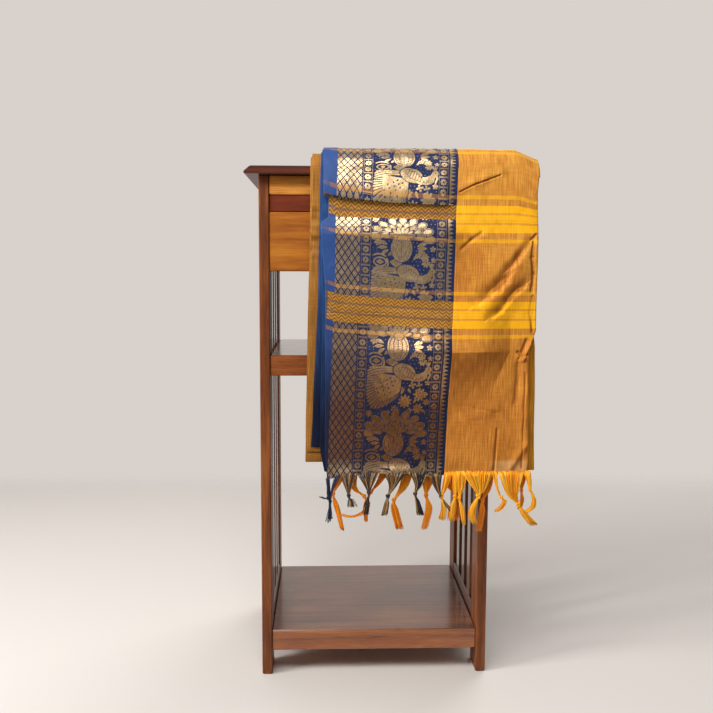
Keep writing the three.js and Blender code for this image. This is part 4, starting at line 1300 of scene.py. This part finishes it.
def border_material():
    material, tree, shader = new_material(
        "zari brocade on navy silk cotton", Sheen_Weight=0.1, Sheen_Roughness=0.4, Specular_IOR_Level=0.3)
    m = maths(tree)
    u, v = cloth_places(tree)
    w = m("SUBTRACT", BORDER_WIDTH, u)
    bands = stripe_mask(tree, v, BAND_GROUP)
    upper = m("GREATER_THAN", v, PLAIN_LOW_BAND_BELOW_V)
    plain = m("GREATER_THAN", m("SUBTRACT", bands, m("MULTIPLY", upper, 0.4)), 0.3)
    third = m("MULTIPLY", m("COMPARE", bands, 0.5, 0.2), upper)
    stripes = m("MULTIPLY", stripe_mask(tree, v), m("SUBTRACT", 1.0, third))
    gold = m("MULTIPLY", brocade_mask(tree, w, v), m("SUBTRACT", 1.0, m("MULTIPLY", plain, 0.86)))
    zigzag = m("PINGPONG", m("ADD", v, m("PINGPONG", w, ZIGZAG["across"])), ZIGZAG["along"])
    zigzag = m("GREATER_THAN", zigzag, ZIGZAG["along"] / 2)

    # Painted shade: gilt and ground are painted duller and darker towards the hem, the gilt more copper, and
    # a painted highlight brightens the gilt along the hem's rim
    worn = thread_noise(tree, u, v, 1.1, 5.0)
    gilt = ramp(tree, worn, [(0.25, 0xBC9868), (0.5, 0xD8BC90), (0.78, 0xF0DAB4)])
    painted_shade_gilt = ramp(tree, worn, [(0.25, 0x7A4E2A), (0.5, 0x9C6A3C), (0.78, 0xB48454)])
    height = rescale(tree, v, (90.0, 260.0))
    painted_hem_highlight = rescale(tree, v, (24.0, 9.0), (0.0, 0.75))
    gilt = mixed(tree, m("MAXIMUM", height, painted_hem_highlight), painted_shade_gilt, gilt)
    ground_noise = thread_noise(tree, u, v, 1.4, 30.0)
    ground = ramp(tree, ground_noise, [(0.25, 0x121A3C), (0.55, 0x1B2A58), (0.8, 0x263A70)])
    painted_shade_ground = ramp(tree, ground_noise, [(0.25, 0x0A0F28), (0.55, 0x101838), (0.8, 0x182448)])
    ground = mixed(tree, height, painted_shade_ground, ground)

    # The stripes' yellow weft lies over gold and ground; the plain bands have zigzags and no brocade
    band = mixed(tree, zigzag, linear(0x865A24), linear(0xC48E3A))
    over_gold = mixed(tree, 0.8, gilt, linear(0xE4A648))
    over_navy = mixed(tree, 0.8, ground, linear(0xA8743A))
    mauve = mixed(tree, 0.28, ground, linear(0xB08C78))
    in_selvedge = m("GREATER_THAN", w, SELVEDGE_W)
    # The brighter blue by the selvedge fades towards the hem with the same painted shade
    by_edge = m("MULTIPLY", m("GREATER_THAN", w, LATTICE["w_high"]), height)
    ground = mixed(tree, by_edge, ground, linear(0x2B4C8C))
    over_navy = mixed(tree, in_selvedge, over_navy, mauve)
    band = mixed(tree, in_selvedge, band, mauve)
    woven_gold = mixed(tree, stripes, gilt, over_gold)
    woven_navy = mixed(tree, stripes, ground, over_navy)
    colour = mixed(tree, gold, woven_navy, woven_gold)
    lines = m("MULTIPLY", plain, m("MULTIPLY_ADD", stripes, 0.9, 0.1))
    colour = mixed(tree, lines, colour, band)
    tree.links.new(colour, shader.inputs["Base Color"])

    metal = m("MULTIPLY", gold, m("SUBTRACT", 0.9, m("MULTIPLY", stripes, 0.6)))
    thread_metal = m("MULTIPLY_ADD", plain, 0.3, metal)
    tree.links.new(thread_metal.outputs[0], shader.inputs["Metallic"])
    rough = rescale(tree, gold, (0.0, 1.0), (0.58, 0.36))
    tree.links.new(rough.outputs[0], shader.inputs["Roughness"])
    relief(tree, shader, m("MULTIPLY_ADD", gold, 0.8, worn), 0.4, 0.0003)
    return material


brocade_cloth = border_material()
print("material:", brocade_cloth.name)

# %% [markdown]
# The plain navy warp shows at the left edge of the inner layers. It is lit from above and falls into the
# shade of the outer folds lower down, and on the inner quarters it gives way to olive mustard.

# %% Plain navy, and the inner quarters that are navy at the left and mustard at the right
NAVY_TO_MUSTARD_U = 205.0


def navy_material(name, turns_mustard):
    material, tree, shader = new_material(
        name, Roughness=0.6, Sheen_Weight=0.05, Sheen_Roughness=0.4, Sheen_Tint=linear(0x9AB0E8),
        Specular_IOR_Level=0.15)
    u, v = cloth_places(tree)
    warp = thread_noise(tree, u, v, STREAK_WIDTH_MM, STREAK_LENGTH_MM, 3.0)
    high_navy = ramp(tree, warp, [(0.25, 0x14305C), (0.55, 0x1E4276), (0.8, 0x2A548C)])
    low_navy = ramp(tree, warp, [(0.25, 0x04081A), (0.55, 0x08122C), (0.8, 0x0E1C3A)])
    colour = mixed(tree, rescale(tree, v, (60.0, 260.0)), low_navy, high_navy)
    if turns_mustard:
        olive = ramp(tree, warp, [(0.25, 0x9C6410), (0.55, 0xC0821C), (0.8, 0xDCA02C)])
        colour = mixed(tree, maths(tree)("GREATER_THAN", u, NAVY_TO_MUSTARD_U), colour, olive)
    tree.links.new(colour, shader.inputs["Base Color"])
    relief(tree, shader, warp, 0.3, 0.0004)
    return material


navy_cloth = navy_material("handwoven silk cotton, navy", False)
quarter_cloth = navy_material("handwoven silk cotton, navy edge and olive mustard", True)

for sheet in (border_low, border_high, border_far):
    sheet.data.materials.append(brocade_cloth)
for sheet in (body_low, body_high, body_far):
    sheet.data.materials.append(mustard)
quarters.data.materials.append(quarter_cloth)
border_folds.data.materials.append(navy_cloth)
for item in stacks:
    item.data.materials.append(shaded_plain_mustard)
print("materials:", navy_cloth.name, "and", quarter_cloth.name)

# %% [markdown]
# The warp ends left below each hem are gathered by hand, tied in an overhand knot and trimmed. Over the
# border the threads are navy and gilt, over the body they are orange. Every thread is a thin three-sided
# tube along a smooth curve: from the hem it swings into the knot, and below the knot it fans out.

# %% Threads of the fringe
THREAD_RADIUS = 0.5
THREAD_STEPS = 14
THREAD_TAPER = 0.85
KNOT_STEPS = 36

# roots: where the threads leave the hem, from x to x; via: bends on the way to the knot, as x, z and
# width; tail: the same below the knot. All are in millimetres, and count is the number of threads.
FACE_TASSELS = [
    dict(look="navy", count=16, roots=(-69, -64), via=[(-65, 277, 4)], knot=(-63, 261),
         tail=[(-64, 247, 7), (-66, 233, 11)]),
    dict(look="navy", count=16, roots=(-57, -50), via=[(-60, 278, 3)], knot=(-63, 261),
         tail=[(-63, 247, 6), (-62, 237, 8)]),
    dict(look="navy", count=14, roots=(-67, -64), via=[(-66, 272, 3)], knot=(-66, 266),
         tail=[(-71, 266, 4), (-77, 268, 9)]),
    dict(look="gilt", count=44, roots=(-50, -28), via=[], knot=(-38, 269),
         tail=[(-35, 262, 9), (-33, 254, 16)]),
    dict(look="gilt", count=52, roots=(-27, 4), via=[], knot=(-11, 273),
         tail=[(-13, 259, 7), (-15, 243, 10)]),
    dict(look="gilt", count=60, roots=(7, 40), via=[(22, 285, 12)], knot=(15, 268),
         tail=[(13, 257, 7), (10, 242, 9)]),
    dict(look="gilt", count=52, roots=(43, 68), via=[(56, 284, 10)], knot=(52, 271),
         tail=[(55, 260, 7), (59, 242, 12)]),
    dict(look="gilt", count=34, roots=(70, 88), via=[(82, 280, 8)], knot=(87, 267),
         tail=[(94, 257, 5), (102, 246, 7)]),
    dict(look="orange", count=40, roots=(91, 103), via=[(92, 279, 7)], knot=(88, 266),
         tail=[(91, 251, 8), (89, 235, 12)]),
    dict(look="orange", count=46, roots=(102, 113), via=[(107, 281, 9)], knot=(106, 267),
         tail=[(104, 253, 9), (102, 234, 9)]),
    dict(look="orange", count=46, roots=(107, 122), via=[(114, 281, 9)], knot=(112, 265),
         tail=[(116, 249, 8), (119, 228, 6)]),
    dict(look="orange", count=110, roots=(114, 158), via=[(139, 278, 17)], knot=(138, 268),
         tail=[(132, 255, 8), (129, 242, 11), (133, 230, 8)]),
    dict(look="orange", count=34, roots=(156, 163), via=[(163, 279, 3)], knot=(169, 266),
         tail=[(174, 260, 7), (170, 252, 9), (163, 246, 9)]),
    dict(look="orange", count=100, roots=(164, 200), via=[(184, 270, 15)], knot=(193, 256),
         tail=[(200, 244, 9), (214, 227, 12)]),
    dict(look="orange", count=38, roots=(200, 209), via=[(208, 282, 5)], knot=(208, 277),
         tail=[(214, 264, 6), (213, 252, 8), (203, 244, 8)]),
]
INNER_TASSELS = [
    dict(count=48, roots=(-50, -40), via=[(-52, 284, 7)], knot=(-59, 269),
         tail=[(-55, 255, 8), (-51, 241, 7), (-46, 219, 6)]),
    dict(count=48, roots=(-40, -26), via=[(-31, 278, 8)], knot=(-17, 266),
         tail=[(-11, 254, 8), (-18, 243, 8), (-33, 237, 8), (-46, 240, 8)]),
    dict(count=36, roots=(5, 18), via=[(2, 283, 7)], knot=(-7, 272),
         tail=[(-14, 255, 6), (-14, 231, 5)]),
    dict(count=60, roots=(34, 50), via=[(37, 279, 11)], knot=(24, 260),
         tail=[(25, 248, 10), (32, 220, 11)]),
    dict(count=60, roots=(60, 80), via=[(69, 281, 12)], knot=(68, 266),
         tail=[(72, 249, 10), (66, 220, 9)]),
    dict(count=96, roots=(92, 124), via=[(108, 281, 26)], knot=(109, 265),
         tail=[(108, 250, 18), (107, 233, 22)]),
    dict(count=56, roots=(140, 160), via=[(153, 279, 10)], knot=(146, 259),
         tail=[(146, 245, 10), (142, 217, 11)]),
    dict(count=30, roots=(198, 208), via=[(200, 284, 7)], knot=(199, 272),
         tail=[(200, 260, 6), (197, 246, 7)]),
]


def smooth_path(points, count):
    """Points along a Catmull-Rom curve through the given ones."""
    points = np.asarray(points, float)
    padded = np.concatenate([2 * points[:1] - points[1:2], points, 2 * points[-1:] - points[-2:-1]])
    lengths = np.concatenate([[0], np.cumsum(np.linalg.norm(np.diff(points, axis=0), axis=1))])
    places = np.linspace(0, lengths[-1], count)
    made = []
    for place in places:
        i = min(max(int(np.searchsorted(lengths, place, side="right")) - 1, 0), len(points) - 2)
        t = (place - lengths[i]) / (lengths[i + 1] - lengths[i])
        p0, p1, p2, p3 = padded[i:i + 4]
        made.append(0.5 * (2 * p1 + (p2 - p0) * t + (2 * p0 - 5 * p1 + 4 * p2 - p3) * t ** 2
                           + (3 * p1 - p0 - 3 * p2 + p3) * t ** 3))
    return np.array(made)


def tube(points, radius, sides):
    """Rings of a thin tube round a path, in millimetres."""
    along = np.gradient(points, axis=0)
    along /= np.linalg.norm(along, axis=1, keepdims=True) + 1e-9
    across = np.cross(along, np.array([0.15, 1.0, 0.1]))
    across /= np.linalg.norm(across, axis=1, keepdims=True) + 1e-9
    up = np.cross(along, across)
    sizes = radius * np.linspace(1, THREAD_TAPER, len(points))[:, None, None]
    turns = np.arange(sides) * 2 * math.pi / sides
    ring = across[:, None, :] * np.cos(turns)[None, :, None] + up[:, None, :] * np.sin(turns)[None, :, None]
    return points[:, None, :] + ring * sizes


def thread_object(name, strands, material):
    """One mesh of many closed threads; each strand is (path in mm, radius, sides, tone)."""
    vertices, faces, tones = [], [], []
    for path, radius, sides, tone in strands:
        rings = tube(path, radius, sides)
        base = len(vertices)
        vertices.extend(rings.reshape(-1, 3).tolist())
        tones.extend([tone] * (len(rings) * sides))
        for r in range(len(rings) - 1):
            for i in range(sides):
                a, b = base + r * sides + i, base + r * sides + (i + 1) % sides
                faces.append((a, b, b + sides, a + sides))
        faces.append(tuple(base + i for i in range(sides))[::-1])
        faces.append(tuple(base + (len(rings) - 1) * sides + i for i in range(sides)))
    places = np.array(vertices)
    made = mesh_object(name, to_frame(*places.T), faces, {"tone": tones})
    face_outwards(made)
    made.data.materials.append(material)
    return made


def knot_path(centre, size):
    """An overhand knot: a small trefoil drawn out along Z."""
    t = np.linspace(0, 2 * math.pi, KNOT_STEPS)
    x = size * (np.sin(t) + 2 * np.sin(2 * t)) / 3
    z = size * 1.2 * (np.cos(t) - 2 * np.cos(2 * t)) / 3
    y = size * 0.6 * np.sin(3 * t)
    return np.stack([centre[0] + x, centre[1] + y, centre[2] + z], axis=-1)


def tassel(row, root_at, knot_y, draws):
    """Strands of one tassel from its hem, through its knot, to the end of its tail."""
    strands = []
    for i in range(row["count"]):
        share = (i + draws.uniform(0, 1)) / row["count"]
        side = 2 * share - 1
        depth = draws.uniform(-1, 1) * math.sqrt(max(0.0, 1 - 0.8 * side * side))
        root_x = row["roots"][0] + (row["roots"][1] - row["roots"][0]) * share
        points = [root_at(root_x, draws.uniform(0.5, 4.5))]
        for x, z, width in row["via"]:
            points.append((x + side * width / 2, knot_y + 0.3 * depth * width, z + draws.gauss(0, 0.5)))
        x, z = row["knot"]
        points.append((x + 0.9 * side + draws.gauss(0, 0.3), knot_y + 0.9 * depth, z))
        other = side * 0.6 + draws.uniform(-0.4, 0.4)
        stop = draws.uniform(0.84, 1.06)
        tail = [(x, z, 2)] + row["tail"]
        for j, (tail_x, tail_z, width) in enumerate(tail[1:]):
            if j == len(row["tail"]) - 1:
                tail_x = tail[j][0] + (tail_x - tail[j][0]) * stop
                tail_z = tail[j][1] + (tail_z - tail[j][1]) * stop
            points.append((tail_x + other * width / 2 + draws.gauss(0, 0.25),
                           knot_y + 0.25 * depth * width, tail_z + draws.gauss(0, 0.4)))
        strands.append((smooth_path(points, THREAD_STEPS), THREAD_RADIUS, 3, draws.random()))
    knot = (row["knot"][0], knot_y, row["knot"][1])
    knot_size = 1.5 + row["count"] / 90
    cord_radius = 1.0 + row["count"] / 150
    strands.append((knot_path(knot, knot_size), cord_radius, 6, draws.uniform(0.2, 0.6)))
    return strands


def face_root(x, above):
    """A point in millimetres on the face, a little above its hem."""
    z = table_value(FACE_HEM, "x", x, "z") + above
    s = front_s(z)
    lift = float(face_lift(np.array(x), np.array(s)))
    return np.array([x, CLOTH_FRONT_Y - lift - 0.25, z])


def inner_root(x, above):
    depth = 3.2 + 3.1 * float(smoothstep(*DEEPENS, x))
    return np.array([x, CLOTH_FRONT_Y + depth, 300.0 + above * 0.3])


def thread_material(name, stops):
    material, tree, shader = new_material(
        name, Roughness=0.6, Sheen_Weight=0.1, Sheen_Roughness=0.35, Specular_IOR_Level=0.25)
    tone = add(tree, "Attribute", attribute_name="tone").outputs["Fac"]
    place = add(tree, "TexCoord").outputs["Object"]
    speck = add(tree, "TexNoise", {"Vector": place, "Scale": 900.0, "Detail": 1.0})
    shade = rescale(tree, maths(tree)("MULTIPLY_ADD", speck, 0.35, tone), (0.1, 1.25))
    colour = ramp(tree, shade, stops)
    tree.links.new(colour.outputs[0], shader.inputs["Base Color"])
    return material


orange_thread = thread_material("loose yellow orange silk thread", [
    (0.0, 0xEC8400), (0.45, 0xFFAE08), (1.0, 0xFFD848)])
# Painted shade: the inner quarters' tassels use the face's orange thread, painted deeper for the shade they
# hang in behind the face
shaded_orange_thread = thread_material("loose orange silk thread in painted shade", [
    (0.0, 0xD86000), (0.5, 0xFC9008), (1.0, 0xFFB81C)])
gilt_thread = thread_material("loose navy and gilt thread", [
    (0.0, 0x14182C), (0.45, 0x2A2A38), (0.62, 0x6A4A2A), (0.85, 0xB88A4C), (1.0, 0xE6C486)])
navy_thread = thread_material("loose navy thread", [(0.0, 0x0E1430), (0.6, 0x1A2448), (1.0, 0x3A4460)])
print("tassels:", len(FACE_TASSELS), "on the face and", len(INNER_TASSELS), "behind it")

# %% [markdown]
# The face's tassels hang 3 mm in front of the cloth, and those of the inner quarters behind them. One
# source of random draws runs through all of them, so that no two threads are alike.

# %% Tie the tassels
draws = random.Random(77)
strands = {"navy": [], "gilt": [], "orange": []}
for row in FACE_TASSELS:
    strands[row["look"]] += tassel(row, face_root, CLOTH_FRONT_Y - 3.0, draws)
inner_strands = []
for row in INNER_TASSELS:
    inner_strands += tassel(row, inner_root, CLOTH_FRONT_Y + 6.4, draws)
fringe_pieces = [
    thread_object("face_fringe_orange", strands["orange"], orange_thread),
    thread_object("face_fringe_gilt", strands["gilt"], gilt_thread),
    thread_object("face_fringe_navy", strands["navy"], navy_thread),
]
inner_fringe = thread_object("inner_fringe_orange", inner_strands, shaded_orange_thread)
print("threads:", sum(len(group) for group in strands.values()) + len(inner_strands))

# %% [markdown]
# Every piece rides on the one rigid body and stands for its plain solid, which is hidden. Every piece
# rides on the one rigid body, stands for its plain solid, and each sheet states the size it was cut to:
# the borders and the body are parts of the outer quarter, and a bundle is given by one of its own
# layers. The rows for two bundles also list a slot and the width and length of one of their own layers,
# which are not used.

# %% Attach the pieces and hide their plain solids
for piece in face_pieces:
    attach(piece, "root")
    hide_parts("pallu_face")

for piece, node, slot, width, length in (
    (quarters, "pallu_inner_quarters", "mustard_cloth", 0.287, 1.14),
    (border_folds, "next_stretch_border", "navy_cloth", 0.172, 1.09),
):
    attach(piece, "root")
    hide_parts(node)
for piece in stacks:
    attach(piece, "root")
    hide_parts("folded_length")
for piece in fringe_pieces:
    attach(piece, "root")
    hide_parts("face_fringe")
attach(inner_fringe, "root")
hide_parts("inner_fringe")
print("pieces of cloth:", len(face_pieces) + 2 + len(stacks), "fringes:", len(fringe_pieces) + 1)

# %% [markdown]
# A plain pale floor and soft studio light. One lamp stands high in front, where the gilt catches it, a
# stronger one at the left gives the creases their bright and dark sides, and the third lights the back.
# The surround is bright behind the table, like a backdrop, and dimmer where the lamps stand, so that
# gilt thread has something dark to reflect. The floor fades into the surround 1 m behind the table.

# %% Floor and light
FLOOR_FAR, FLOOR_NEAR, FLOOR_SIDE = 0.97, -0.95, 2.4

bpy.ops.object.select_all(action="DESELECT")
bpy.ops.mesh.primitive_plane_add(size=8.0, location=(0, 0, -0.0005))
floor = bpy.context.object
floor.name = "studio_floor"
floor_material, tree, shader = new_material("matt pale floor", Base_Color=linear(0xDBD9D7), Roughness=0.85)
m = maths(tree)
place = add(tree, "SeparateXYZ", {"Vector": add(tree, "TexCoord").outputs["Object"]})
far = rescale(tree, place.outputs[1], (FLOOR_FAR + 0.1, FLOOR_FAR - 0.14), smooth=True)
near = rescale(tree, place.outputs[1], (FLOOR_NEAR - 0.2, FLOOR_NEAR + 0.2), smooth=True)
sideways = m("ABSOLUTE", place.outputs[0])
side = rescale(tree, sideways, (FLOOR_SIDE + 0.3, FLOOR_SIDE - 0.3), smooth=True)
solid = m("MULTIPLY", m("MULTIPLY", far, near), side)
tree.links.new(solid.outputs[0], shader.inputs["Alpha"])
floor.data.materials.append(floor_material)

LAMP_COLOUR = 0xFFFAF4
LAMPS = [
    # place and aim in metres, size, watts
    dict(name="lamp_above_front", place=(-0.35, -1.0, 1.5), aim=(0.05, -0.1, 0.62), size=(1.1, 0.5),
         watts=16),
    dict(name="lamp_left", place=(-1.75, -0.75, 1.15), aim=(0, 0, 0.42), size=(0.6, 0.8), watts=32),
    dict(name="lamp_behind", place=(1.2, 1.8, 1.9), aim=(0, 0, 0.42), size=(1.4, 1.4), watts=24),
]
for row in LAMPS:
    lamp = bpy.data.lights.new(row["name"], "AREA")
    lamp.shape = "RECTANGLE"
    lamp.size, lamp.size_y = row["size"]
    lamp.energy = row["watts"]
    lamp.color = linear(LAMP_COLOUR)[:3]
    holder = bpy.data.objects.new(row["name"], lamp)
    bpy.context.collection.objects.link(holder)
    holder.location = row["place"]
    towards = Vector(row["aim"]) - Vector(row["place"])
    holder.rotation_euler = towards.to_track_quat("-Z", "Y").to_euler()

world = bpy.data.worlds.new("pale surround")
world.use_nodes = True
tree = world.node_tree
direction = add(tree, "SeparateXYZ", {"Vector": add(tree, "TexCoord").outputs["Generated"]})
behind = rescale(tree, direction.outputs[1], (-0.3, 0.75), (0.16, 1.0), smooth=True)
backdrop = tree.nodes["Background"]
backdrop.inputs["Color"].default_value = linear(0xD8D1CC)
tree.links.new(behind.outputs[0], backdrop.inputs["Strength"])
bpy.context.scene.world = world
print("lamps:", [row["name"] for row in LAMPS])
